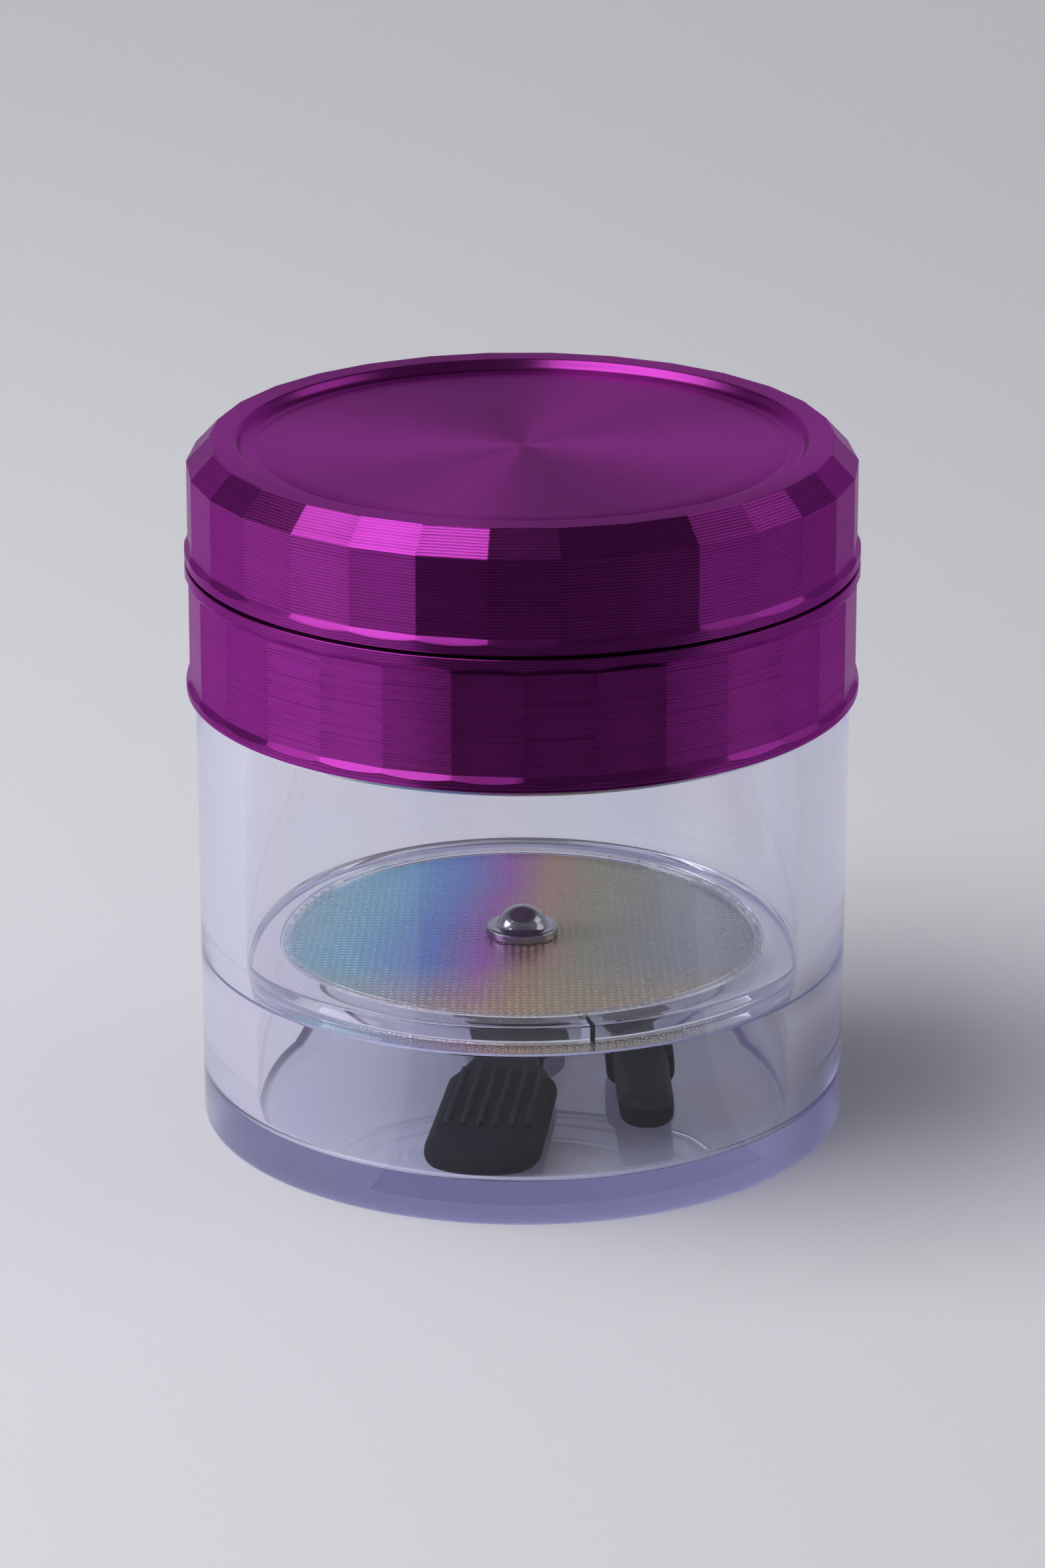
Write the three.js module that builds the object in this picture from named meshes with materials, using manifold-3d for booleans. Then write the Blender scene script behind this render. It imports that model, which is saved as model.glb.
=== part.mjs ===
// A hand-held twist grinder for dried herbs and spices: a faceted lid with teeth turns on a faceted
// grinding chamber, which screws onto a clear jar with a lift-out screen and a catch space below it.
// Millimetres, +Z up. The origin is the centre of the jar's flat base, and -Y is the front.
// Azimuths run from the front (-Y) towards +X, which is anticlockwise seen from above.

import * as THREE from 'three';
import { mergeVertices } from 'three/addons/utils/BufferGeometryUtils.js';
import Module from 'manifold-3d';

const wasm = await Module();
wasm.setup();

// ---- Driving dimensions: the whole object ----
const gripRadius = 31.5; // round flanges of the lid and the chamber
const jarHeight = 42.2; // base to the shoulder that the chamber screws down to
const chamberHeight = 12.6; // grinding chamber, lower edge to the face under the lid
const lidHeight = 11.2; // lid, lower edge to the rim on top
const sealGap = 0.2; // open line between the jar's shoulder and the chamber
const glideGap = 0.3; // open line between the chamber and the lid

// ---- Facets on the lid and the chamber ----
const facetCount = 30;
const facetInset = 0.45; // a facet's middle below the round flanges
const lidFacetPhase = 6.3; // azimuth of a facet's edge, in degrees
const chamberFacetPhase = 0.3;
const flangeHeight = 0.9;
const facetRunOut = 0.6; // height of the slope from a facet out to a flange
const facetRunOutReach = 0.75; // how far that slope goes out, past the flange's radius

// ---- Lid ----
const lidChamferHeight = 2.3;
const lidChamferDepth = 2.15; // how far the chamfer facets lean in
const rimWidth = 2.3; // flat rim between the chamfer facets and the dish
const dishDepth = 0.8;
const dishStep = 0.55; // width of the rounded step from the rim down to the dish
const lidPlate = 2.4; // thickness under the dish
const flangeEdge = 0.25; // small bevel at the lower edge

// ---- Grinding chamber ----
const spigotWall = 1.8; // the upstanding ring that guides the lid
const spigotClearance = 0.3; // spigot to the lid's skirt, at the side
const spigotTopGap = 0.6; // spigot to the lid's underside
const skirtWall = 2.05; // lid's skirt, at a facet's middle
const plateDrop = 0.5; // tooth plate's top below the chamber's upper face
const ledgeThickness = 1.5; // ledge under the tooth plate
const ledgeWidth = 2;
const chamberFootBevel = 0.45;

// ---- Tooth plates, with their bosses and magnets ----
const toothPlateThickness = 1.5;
const plateClearance = 0.1; // chamber's tooth plate to the ring around it
const lidPlateGap = 0.6; // lid's tooth plate to the spigot
const toothWidth = 2.4; // across, along the radius
const toothLength = 3.6; // along the ring
const toothRingPitch = 3.4; // rings belong to the chamber and the lid in turn
const toothSpacing = 10.5; // least distance between teeth in a ring
const toothTipGap = 0.6; // tooth tip to the plate it turns over
const toothWallGap = 0.4; // outer ring to the spigot
const dropHoleRadius = 1.9;
const bossRadius = 5;
const bossGap = 0.6; // between the lid's boss and the chamber's
const bossRise = 3.3; // chamber's boss above its plate
const magnetRadius = 3;
const magnetThickness = 2;
const magnetClearance = 0.1;

// ---- Jar, neck and thread ----
const jarInset = 0.8; // jar's shoulder inside the grip radius
const jarDraft = 0.25; // how much narrower the jar is at its foot
const jarFootRound = 0.9;
const jarWall = 4.5;
const jarFloor = 3;
const neckWall = 1.7;
const threadPitch = 3;
const threadDepth = 1;
const threadTurns = 1.5;
const threadRoot = 1.2; // ridge's width at its root
const threadCrest = 0.6; // ridge's width at its crest
const threadClearance = 0.3;
const socketTopGap = 0.7; // neck's rim to the ledge above it
const sealThickness = 0.8;
const sealSetback = 0.1; // seal's edge inside the jar's wall
const sealClearance = 0.1;

// ---- Glide ring between the lid and the chamber ----
const glideThickness = 0.9;
const glideSetback = 0.6; // pocket's wall inside the grip radius
const glideClearance = 0.15;

// ---- Screen ----
const screenSeatHeight = 15.8; // height of the ledge that carries the screen
const screenLedge = 0.8; // ledge's width
const screenClearance = 0.2; // carrier to the jar's bore
const carrierWidth = 4.4;
const carrierHeight = 2.7;
const carrierLip = 3.1; // outer lip that stands round the mesh
const carrierSplit = 0.4; // width of the cut through the ring
const carrierSplitAzimuth = 13.5;
const meshThickness = 0.2;
const meshRecess = 0.6; // mesh's underside below the carrier's top
const meshClearance = 0.15;
const clampRingWidth = 0.75;

// ---- Stud, washer and nut in the middle of the screen ----
const studFlangeRadius = 3.4;
const studFlangeHeight = 0.9;
const studDomeRadius = 2.3;
const studDomeHeight = 1.9;
const shankRadius = 1.2;
const shankClearance = 0.15;
const shankLength = 1.6;
const washerThickness = 0.6;
const nutAcross = 4.4; // across its flats
const nutHeight = 1.3;

// ---- Cleaning tools that lie in the catch space ----
const toolWallGap = 0.4; // tool's front end to the jar's wall
const scraperOffset = -4; // x of the scraper's front end
const scraperTurn = 6; // degrees that it points to the right, going back
const scraperSpare = 7; // room behind the blade
const scraperGripWidth = 10.4;
const scraperNeckWidth = 6.4;
const scraperNeckLength = 4;
const scraperBladeWidth = 10;
const scraperBladeLength = 13;
const scraperThickness = 2.4;
const scraperBladeThickness = 1.2;
const ribCount = 6;
const ribWidth = 0.7;
const ribPitch = 1.45;
const ribHeight = 0.45;
const ribStart = 7.4; // from the front end
const ribEndMargin = 3.6; // ribs to the grip's end
const brushOffset = 11.3; // x of the brush
const brushFrontRoom = 7.4; // brush's front end to the jar's wall
const brushSpare = 1.5; // bristles to the jar's wall
const handleFrontWidth = 4.8;
const handleBackWidth = 5.3;
const handleThickness = 3.2;
const handleLength = 15;
const ferruleLength = 4;
const ferruleWall = 0.5;
const bristleWidth = 4.6;
const bristleThickness = 2.2;
const brushClearance = 0.1;

// ---- How finely round shapes are cut ----
const roundSegments = 60;
const smallSegments = 24;
const holeSegments = 8;
const arcSteps = 4;
const ridgeStepsPerTurn = 36;
const embed = 0.5; // how far an added shape starts inside the body it joins
const overcut = 1; // how far a cutting shape passes a face

// ---- Heights and radii that follow ----
const chamberBottom = jarHeight + sealGap;
const chamberTop = chamberBottom + chamberHeight;
const lidBottom = chamberTop + glideGap;
const lidTop = lidBottom + lidHeight;
const dishFloor = lidTop - dishDepth;
const lidUnderside = dishFloor - lidPlate;
const facetApothem = gripRadius - facetInset;
const facetCorner = facetApothem / Math.cos(Math.PI / facetCount);
const rimInner = facetApothem - lidChamferDepth - rimWidth;
const dishRadius = rimInner - dishStep;
const skirtRadius = facetApothem - skirtWall;
const spigotOuter = skirtRadius - spigotClearance;
const spigotInner = spigotOuter - spigotWall;
const spigotTop = lidUnderside - spigotTopGap;
const plateTop = chamberTop - plateDrop;
const plateSeat = plateTop - toothPlateThickness;
const ledgeUnderside = plateSeat - ledgeThickness;
const ledgeRadius = spigotInner - ledgeWidth;
const lidPlateUnderside = lidUnderside - toothPlateThickness;
const bossTop = plateTop + bossRise;
const lidBossBottom = bossTop + bossGap;
const jarTopRadius = gripRadius - jarInset;
const jarFootRadius = jarTopRadius - jarDraft;
const boreRadius = jarTopRadius - jarWall;
const catchRadius = boreRadius - screenLedge;
const neckRadius = boreRadius + neckWall;
const threadRadius = neckRadius + threadDepth;
const socketRadius = threadRadius + threadClearance;
const neckTop = ledgeUnderside - socketTopGap;
const sealTop = jarHeight + sealThickness;
const sealOuter = jarTopRadius - sealSetback;
const glidePocketRadius = gripRadius - glideSetback;
const glideTop = chamberTop + glideThickness;
const carrierOuter = boreRadius - screenClearance;
const carrierInner = carrierOuter - carrierWidth;
const carrierTop = screenSeatHeight + carrierHeight;
const lipRadius = carrierOuter - carrierLip;
const meshUnderside = carrierTop - meshRecess;
const meshTop = meshUnderside + meshThickness;
const chamberToothTop = lidPlateUnderside - toothTipGap;
const lidToothTip = plateTop + toothTipGap;

// ---- Small tools for making solids ----

// A manifold solid from a three.js geometry, with its shared vertices merged.
function toSolid(geometry) {
  const bare = new THREE.BufferGeometry();
  bare.setAttribute('position', geometry.getAttribute('position'));
  bare.setIndex(geometry.getIndex());
  const merged = mergeVertices(bare);
  const index = merged.getIndex().array;
  const triangles = [];
  for (let i = 0; i < index.length; i += 3) {
    const [a, b, c] = [index[i], index[i + 1], index[i + 2]];
    if (a !== b && b !== c && c !== a) triangles.push(a, b, c);
  }
  return new wasm.Manifold(new wasm.Mesh({
    numProp: 3,
    vertProperties: new Float32Array(merged.getAttribute('position').array),
    triVerts: new Uint32Array(triangles),
  }));
}

function toGeometry(solid) {
  const mesh = solid.getMesh();
  const geometry = new THREE.BufferGeometry();
  geometry.setAttribute('position', new THREE.BufferAttribute(mesh.vertProperties, mesh.numProp));
  geometry.setIndex(new THREE.BufferAttribute(mesh.triVerts, 1));
  geometry.computeVertexNormals();
  return geometry;
}

// A body turned about Z from [radius, height] points that run anticlockwise, from axis to axis.
function turned(profile, segments = roundSegments, phase = 0) {
  const points = profile.map(([radius, height]) => new THREE.Vector2(radius, height));
  const start = THREE.MathUtils.degToRad(phase);
  const geometry = new THREE.LatheGeometry(points, segments, start, 2 * Math.PI);
  geometry.rotateX(Math.PI / 2);
  return toSolid(geometry);
}

// A ring turned about Z from a section that closes on itself.
function turnedRing(section, segments = roundSegments) {
  return turned([...section, section[0]], segments);
}

function cylinder(radius, bottom, top, segments = roundSegments) {
  return turned([[0, bottom], [radius, bottom], [radius, top], [0, top]], segments);
}

function ringSection(inner, outer, bottom, top) {
  return [[inner, bottom], [outer, bottom], [outer, top], [inner, top]];
}

// Points on an arc in a turned profile, angles in degrees.
function arc(centreRadius, centreHeight, radius, from, to, steps = arcSteps) {
  return Array.from({ length: steps + 1 }, (_, i) => {
    const angle = THREE.MathUtils.degToRad(from + ((to - from) * i) / steps);
    return [centreRadius + radius * Math.cos(angle), centreHeight + radius * Math.sin(angle)];
  });
}

// An upright prism of a flat outline of [x, y] points, or of a THREE.Shape.
function prism(outline, bottom, height) {
  const isShape = outline instanceof THREE.Shape;
  const shape = isShape ? outline : new THREE.Shape(outline.map(([x, y]) => new THREE.Vector2(x, y)));
  const options = { depth: height, bevelEnabled: false, curveSegments: arcSteps };
  const geometry = new THREE.ExtrudeGeometry(shape, options);
  geometry.translate(0, 0, bottom);
  return geometry;
}

function block(xFrom, xTo, yFrom, yTo, zFrom, zTo) {
  const geometry = new THREE.BoxGeometry(xTo - xFrom, yTo - yFrom, zTo - zFrom);
  geometry.translate((xFrom + xTo) / 2, (yFrom + yTo) / 2, (zFrom + zTo) / 2);
  return geometry;
}

// Puts a geometry out along +X by the radius, then turns it about Z, and makes it a solid.
function onRing(geometry, radius, angle) {
  return toSolid(geometry.clone().translate(radius, 0, 0).rotateZ(angle));
}

// A right-handed helical ridge between two radii; its tip tapers into the wall at both ends.
function threadRidge(wallRadius, crestRadius, startHeight) {
  const outward = Math.sign(crestRadius - wallRadius);
  const rootRadius = wallRadius - outward * embed;
  const steps = Math.round(threadTurns * ridgeStepsPerTurn);
  const taperSteps = 3;
  const positions = [];
  for (let i = 0; i <= steps; i++) {
    const azimuth = (2 * Math.PI * i) / ridgeStepsPerTurn;
    const middle = startHeight + (threadPitch * i) / ridgeStepsPerTurn;
    const fade = Math.min(1, (0.5 + Math.min(i, steps - i)) / (0.5 + taperSteps));
    const tip = wallRadius + (crestRadius - wallRadius) * fade;
    const section = [[rootRadius, -threadRoot / 2], [tip, -threadCrest / 2],
      [tip, threadCrest / 2], [rootRadius, threadRoot / 2]];
    if (outward < 0) section.reverse();
    for (const [radius, rise] of section) {
      const [across, back] = [Math.sin(azimuth), -Math.cos(azimuth)];
      positions.push(radius * across, radius * back, middle + rise);
    }
  }
  const index = [0, 1, 2, 0, 2, 3];
  for (let i = 0; i < steps; i++) {
    for (let j = 0; j < 4; j++) {
      const [here, next] = [4 * i + j, 4 * i + ((j + 1) % 4)];
      index.push(here, here + 4, next, next + 4, next, here + 4);
    }
  }
  const last = 4 * steps;
  index.push(last, last + 2, last + 1, last, last + 3, last + 2);
  const geometry = new THREE.BufferGeometry();
  geometry.setAttribute('position', new THREE.BufferAttribute(new Float32Array(positions), 3));
  geometry.setIndex(index);
  return toSolid(geometry);
}

// ---- Teeth, shared by the lid and the chamber ----

// Radii of the rings, from the outside in, down to the bosses.
const toothRings = [];
const outerRing = spigotInner - toothWallGap - toothWidth / 2;
const innermostRing = bossRadius + toothWallGap + toothWidth / 2;
for (let radius = outerRing; radius >= innermostRing; radius -= toothRingPitch) {
  toothRings.push(radius);
}
const chamberRings = toothRings.filter((_, i) => i % 2 === 0);
const lidRings = toothRings.filter((_, i) => i % 2 === 1);

function toothCount(radius) {
  return Math.floor((2 * Math.PI * radius) / toothSpacing);
}

// Adds rings of diamond-shaped teeth to a body. A gap between teeth always faces +X.
function withTeeth(body, rings, bottom, height) {
  const diamond = prism([[-toothWidth / 2, 0], [0, -toothLength / 2],
    [toothWidth / 2, 0], [0, toothLength / 2]], bottom, height);
  let result = body;
  for (const radius of rings) {
    const count = toothCount(radius);
    for (let i = 0; i < count; i++) {
      result = result.add(onRing(diamond, radius, ((i + 0.5) * 2 * Math.PI) / count));
    }
  }
  return result;
}

// ---- Lid ----

function makeLid() {
  const chamferBase = lidTop - lidChamferHeight;
  const facetBase = lidBottom + flangeHeight + facetRunOut;
  const round = turned([
    [0, lidBottom], [gripRadius - flangeEdge, lidBottom], [gripRadius, lidBottom + flangeEdge],
    [gripRadius, lidTop], [0, lidTop],
  ]);
  const wide = facetCorner + facetRunOutReach;
  const facets = turned([
    [0, lidBottom - overcut], [wide, lidBottom - overcut],
    [wide, facetBase - facetRunOut * facetRunOutReach / facetInset],
    [facetCorner, facetBase], [facetCorner, chamferBase],
    [facetCorner - lidChamferDepth, lidTop], [0, lidTop],
  ], facetCount, lidFacetPhase);
  const dish = turned([
    [0, dishFloor], [dishRadius - dishStep, dishFloor],
    ...arc(dishRadius - dishStep, dishFloor + dishStep, dishStep, -90, 0),
    [rimInner, lidTop], [rimInner, lidTop + overcut], [0, lidTop + overcut],
  ]);
  const hollow = cylinder(skirtRadius, lidBottom - overcut, lidUnderside);
  const glidePocket = cylinder(glidePocketRadius, lidBottom - overcut, glideTop);
  return round.intersect(facets).subtract(dish).subtract(hollow).subtract(glidePocket);
}

function makeLidToothPlate() {
  const plate = cylinder(spigotInner - lidPlateGap, lidPlateUnderside, lidUnderside);
  const boss = cylinder(bossRadius, lidBossBottom, lidPlateUnderside + embed, smallSegments);
  const magnetPocket = cylinder(magnetRadius + magnetClearance, lidBossBottom - overcut,
    lidBossBottom + magnetThickness, smallSegments);
  const height = lidPlateUnderside + embed - lidToothTip;
  return withTeeth(plate, lidRings, lidToothTip, height).add(boss).subtract(magnetPocket);
}

function makeLidMagnet() {
  return cylinder(magnetRadius, lidBossBottom, lidBossBottom + magnetThickness, smallSegments);
}

function makeGlideRing() {
  return turnedRing(ringSection(spigotOuter + glideClearance, glidePocketRadius - glideClearance,
    chamberTop, glideTop));
}

// ---- Grinding chamber ----

function makeChamber() {
  const lowerFacet = chamberBottom + flangeHeight + facetRunOut;
  const upperFacet = chamberTop - flangeHeight - facetRunOut;
  const round = turned([
    [0, chamberBottom], [gripRadius - chamberFootBevel, chamberBottom],
    [gripRadius, chamberBottom + chamberFootBevel], [gripRadius, chamberTop], [0, chamberTop],
  ]);
  const wide = facetCorner + facetRunOutReach;
  const slope = facetRunOut * facetRunOutReach / facetInset;
  const facets = turned([
    [0, chamberBottom - overcut], [wide, chamberBottom - overcut], [wide, lowerFacet - slope],
    [facetCorner, lowerFacet], [facetCorner, upperFacet], [wide, upperFacet + slope],
    [wide, chamberTop + overcut], [0, chamberTop + overcut],
  ], facetCount, chamberFacetPhase);
  const spigot = cylinder(spigotOuter, plateTop, spigotTop);
  const bowl = cylinder(spigotInner, plateSeat, spigotTop + overcut);
  const mouth = cylinder(ledgeRadius, chamberBottom, plateTop);
  const socket = cylinder(socketRadius, chamberBottom - overcut, ledgeUnderside);
  const sealPocket = cylinder(sealOuter + sealClearance, chamberBottom - overcut, sealTop);
  const ridge = threadRidge(socketRadius, neckRadius + threadClearance,
    sealTop + threadRoot + threadPitch / 2);
  const shell = round.intersect(facets).add(spigot).subtract(bowl).subtract(mouth);
  return shell.subtract(socket).add(ridge).subtract(sealPocket);
}

function makeChamberToothPlate() {
  const plate = cylinder(spigotInner - plateClearance, plateSeat, plateTop);
  const boss = cylinder(bossRadius, plateTop - embed, bossTop, smallSegments);
  const magnetPocket = cylinder(magnetRadius + magnetClearance, bossTop - magnetThickness,
    bossTop + overcut, smallSegments);
  const height = chamberToothTop - plateTop + embed;
  const toothed = withTeeth(plate, chamberRings, plateTop - embed, height);
  return withDropHoles(toothed.add(boss).subtract(magnetPocket));
}

// Round holes through the plate, under the paths of the lid's teeth.
function withDropHoles(body) {
  const hole = new THREE.CylinderGeometry(dropHoleRadius, dropHoleRadius,
    toothPlateThickness + 2 * overcut, holeSegments);
  hole.rotateX(Math.PI / 2).translate(0, 0, plateSeat + toothPlateThickness / 2);
  let result = body;
  for (const radius of lidRings) {
    const count = toothCount(radius);
    for (let i = 0; i < count; i++) {
      result = result.subtract(onRing(hole, radius, (i * 2 * Math.PI) / count));
    }
  }
  return result;
}

function makeChamberMagnet() {
  return cylinder(magnetRadius, bossTop - magnetThickness, bossTop, smallSegments);
}

// ---- Jar and its seal ----

function makeJar() {
  const footWall = [jarFootRadius, jarFootRound];
  const body = turned([
    [0, 0], ...arc(jarFootRadius - jarFootRound, jarFootRound, jarFootRound, -90, -22.5, 3),
    footWall, [jarTopRadius, jarHeight], [neckRadius, jarHeight], [neckRadius, neckTop],
    [boreRadius, neckTop], [boreRadius, screenSeatHeight], [catchRadius, screenSeatHeight],
    [catchRadius, jarFloor], [0, jarFloor],
  ]);
  return body.add(threadRidge(neckRadius, threadRadius, sealTop + threadRoot));
}

function makeJarSeal() {
  return turnedRing(ringSection(socketRadius, sealOuter, jarHeight, sealTop));
}

// ---- Screen: carrier, mesh, clamp ring, stud, washer and nut ----

function makeScreenCarrier() {
  const ring = turnedRing([
    [carrierInner, screenSeatHeight], [carrierOuter, screenSeatHeight], [carrierOuter, carrierTop],
    [lipRadius, carrierTop], [lipRadius, meshUnderside], [carrierInner, meshUnderside],
  ]);
  const cut = block(carrierInner - overcut, carrierOuter + overcut,
    -carrierSplit / 2, carrierSplit / 2, screenSeatHeight - overcut, carrierTop + overcut);
  const angle = THREE.MathUtils.degToRad(carrierSplitAzimuth) - Math.PI / 2;
  return ring.subtract(onRing(cut, 0, angle));
}

function makeScreenMesh() {
  return turnedRing(ringSection(shankRadius + shankClearance, lipRadius - meshClearance,
    meshUnderside, meshTop));
}

function makeClampRing() {
  const outer = lipRadius - meshClearance;
  return turnedRing(ringSection(outer - clampRingWidth, outer, meshTop, carrierTop));
}

function makeStud() {
  const flangeTop = meshTop + studFlangeHeight;
  return turned([
    [0, meshTop - shankLength], [shankRadius, meshTop - shankLength], [shankRadius, meshTop],
    [studFlangeRadius, meshTop], [studFlangeRadius, flangeTop], [studDomeRadius, flangeTop],
    ...domeArc(flangeTop),
  ], smallSegments);
}

// The dome's quarter ellipse, from its side to the axis.
function domeArc(bottom) {
  return Array.from({ length: arcSteps }, (_, i) => {
    const angle = (Math.PI / 2) * ((i + 1) / arcSteps);
    const radius = i + 1 === arcSteps ? 0 : studDomeRadius * Math.cos(angle);
    return [radius, bottom + studDomeHeight * Math.sin(angle)];
  });
}

function makeWasher() {
  return turnedRing(ringSection(shankRadius + shankClearance, studFlangeRadius,
    meshUnderside - washerThickness, meshUnderside), smallSegments);
}

function makeNut() {
  const top = meshUnderside - washerThickness;
  const corner = nutAcross / 2 / Math.cos(Math.PI / 6);
  const hexagon = turned([[0, top - nutHeight], [corner, top - nutHeight], [corner, top], [0, top]], 6);
  return hexagon.subtract(cylinder(shankRadius + shankClearance, top - nutHeight - overcut,
    top + overcut, smallSegments));
}

// ---- Scraper: a ribbed grip and a flat blade, in one piece ----

// Length from the front end to the wall behind, less the room to spare. It lies along +Y here.
const scraperHalf = Math.abs(scraperOffset) + scraperGripWidth / 2;
const scraperFront = -Math.sqrt(catchRadius ** 2 - scraperOffset ** 2) + toolWallGap;
const scraperLength = Math.sqrt(catchRadius ** 2 - scraperHalf ** 2) - scraperFront - scraperSpare;
const scraperGripLength = scraperLength - scraperNeckLength - scraperBladeLength;

function makeScraper() {
  const grip = gripOutline(scraperGripWidth, scraperGripLength, scraperNeckWidth);
  const bladeStart = scraperGripLength + scraperNeckLength;
  const bladeHalf = scraperBladeWidth / 2;
  const neckHalf = scraperNeckWidth / 2;
  const blade = new THREE.Shape();
  blade.moveTo(-neckHalf, scraperGripLength - embed);
  blade.lineTo(neckHalf, scraperGripLength - embed);
  blade.lineTo(neckHalf, bladeStart);
  blade.lineTo(bladeHalf, bladeStart + bladeHalf / 2);
  blade.lineTo(bladeHalf, scraperLength - bladeHalf);
  blade.absarc(0, scraperLength - bladeHalf, bladeHalf, 0, Math.PI, false);
  blade.lineTo(-bladeHalf, bladeStart + bladeHalf / 2);
  blade.lineTo(-neckHalf, bladeStart);
  blade.closePath();
  let body = toSolid(prism(grip, 0, scraperThickness));
  body = body.add(toSolid(prism(blade, 0, scraperBladeThickness)));
  for (let i = 0; i < ribCount; i++) {
    const middle = (i - (ribCount - 1) / 2) * ribPitch;
    body = body.add(toSolid(block(middle - ribWidth / 2, middle + ribWidth / 2, ribStart,
      scraperGripLength - ribEndMargin, scraperThickness - embed, scraperThickness + ribHeight)));
  }
  return body;
}

// A grip with a round front end at the origin that narrows to a neck at its far end.
function gripOutline(width, length, neckWidth) {
  const half = width / 2;
  const round = half * 0.72;
  const outline = new THREE.Shape();
  outline.moveTo(-half + round, 0);
  outline.lineTo(half - round, 0);
  outline.absarc(half - round, round, round, -Math.PI / 2, 0, false);
  outline.lineTo(half, length - (width - neckWidth));
  outline.lineTo(neckWidth / 2, length);
  outline.lineTo(-neckWidth / 2, length);
  outline.lineTo(-half, length - (width - neckWidth));
  outline.absarc(-half + round, round, round, Math.PI, 1.5 * Math.PI, false);
  return outline;
}

// ---- Brush: handle, ferrule and bristles, lying along +Y from the front end ----

const brushReach = Math.sqrt(catchRadius ** 2 - (brushOffset + handleBackWidth / 2) ** 2);
const brushFront = brushFrontRoom - brushReach;
const brushLength = brushReach - brushSpare - brushFront;
const ferruleInner = handleBackWidth + 2 * brushClearance;

function makeBrushHandle() {
  const [front, back] = [handleFrontWidth / 2, handleBackWidth / 2];
  const outline = new THREE.Shape();
  outline.moveTo(-front, front);
  outline.absarc(0, front, front, Math.PI, 2 * Math.PI, false);
  outline.lineTo(back, handleLength);
  outline.lineTo(-back, handleLength);
  outline.closePath();
  return toSolid(prism(outline, ferruleWall, handleThickness));
}

function makeFerrule() {
  const start = handleLength - ferruleLength / 2;
  const half = ferruleInner / 2 + ferruleWall;
  const inside = ferruleInner / 2;
  const top = ferruleWall + handleThickness + 2 * brushClearance;
  const outer = toSolid(block(-half, half, start, start + ferruleLength, 0, top + ferruleWall));
  const hollow = block(-inside, inside, start - overcut, start + ferruleLength + overcut,
    ferruleWall - brushClearance, top - brushClearance);
  return outer.subtract(toSolid(hollow));
}

function makeBristles() {
  const middle = ferruleWall + handleThickness / 2;
  const start = handleLength + brushClearance;
  return toSolid(block(-bristleWidth / 2, bristleWidth / 2, start, brushLength,
    middle - bristleThickness / 2, middle + bristleThickness / 2));
}

// ---- Materials ----

function finish(colour, roughness, metalness, opacity = 1) {
  const transparent = opacity < 1;
  return new THREE.MeshStandardMaterial({ color: colour, roughness, metalness, opacity, transparent });
}

const purpleAnodised = () => finish(0x6a1e78, 0.32, 1);
const clearPlastic = () => finish(0xc9c9dd, 0.06, 0, 0.3);
const blackPolymer = () => finish(0x17161a, 0.5, 0);
const paleSilicone = () => finish(0xb9b8c2, 0.45, 0);
const nickel = () => finish(0xb8b9bf, 0.22, 1);
const steelMesh = () => finish(0x9a9ba6, 0.38, 1);
const toolPlastic = () => finish(0x222227, 0.42, 0);
const brushFibre = () => finish(0x2b2a2e, 0.85, 0);

// ---- Assembly ----

function addPiece(group, name, solid, material) {
  const mesh = new THREE.Mesh(toGeometry(solid), material);
  mesh.name = name;
  group.add(mesh);
}

const jarGroup = new THREE.Group();
addPiece(jarGroup, 'jar', makeJar(), clearPlastic());
addPiece(jarGroup, 'jar_seal', makeJarSeal(), paleSilicone());

const screenGroup = new THREE.Group();
addPiece(screenGroup, 'screen_carrier', makeScreenCarrier(), clearPlastic());
addPiece(screenGroup, 'screen_mesh', makeScreenMesh(), steelMesh());
addPiece(screenGroup, 'screen_clamp_ring', makeClampRing(), clearPlastic());
addPiece(screenGroup, 'screen_stud', makeStud(), nickel());
addPiece(screenGroup, 'screen_washer', makeWasher(), nickel());
addPiece(screenGroup, 'screen_nut', makeNut(), nickel());

const scraperGroup = new THREE.Group();
addPiece(scraperGroup, 'scraper', makeScraper(), toolPlastic());
scraperGroup.position.set(scraperOffset, scraperFront, jarFloor);
scraperGroup.rotation.z = -THREE.MathUtils.degToRad(scraperTurn);

const brushGroup = new THREE.Group();
addPiece(brushGroup, 'brush_handle', makeBrushHandle(), toolPlastic());
addPiece(brushGroup, 'brush_ferrule', makeFerrule(), toolPlastic());
addPiece(brushGroup, 'brush_bristles', makeBristles(), brushFibre());
brushGroup.position.set(brushOffset, brushFront, jarFloor);

const chamberGroup = new THREE.Group();
addPiece(chamberGroup, 'grinding_chamber', makeChamber(), purpleAnodised());
addPiece(chamberGroup, 'chamber_tooth_plate', makeChamberToothPlate(), purpleAnodised());
addPiece(chamberGroup, 'chamber_magnet', makeChamberMagnet(), nickel());

const lidGroup = new THREE.Group();
addPiece(lidGroup, 'glide_ring', makeGlideRing(), blackPolymer());
addPiece(lidGroup, 'lid', makeLid(), purpleAnodised());
addPiece(lidGroup, 'lid_tooth_plate', makeLidToothPlate(), purpleAnodised());
addPiece(lidGroup, 'lid_magnet', makeLidMagnet(), nickel());

const grinder = new THREE.Group();
grinder.add(jarGroup, screenGroup, scraperGroup, brushGroup, chamberGroup, lidGroup);

export default grinder;
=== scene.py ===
"""A hand-held twist grinder, built piece by piece around its fixed frame.

A faceted lid with teeth turns on a faceted grinding chamber. The chamber screws onto a clear jar that
holds a lift-out screen, and a scraper and a brush lie in the catch space below it. Metres, +Z up. The
origin is the middle of the jar's base and -Y is the front. Azimuths run from the front towards +X.
"""

import math
import random

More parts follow.
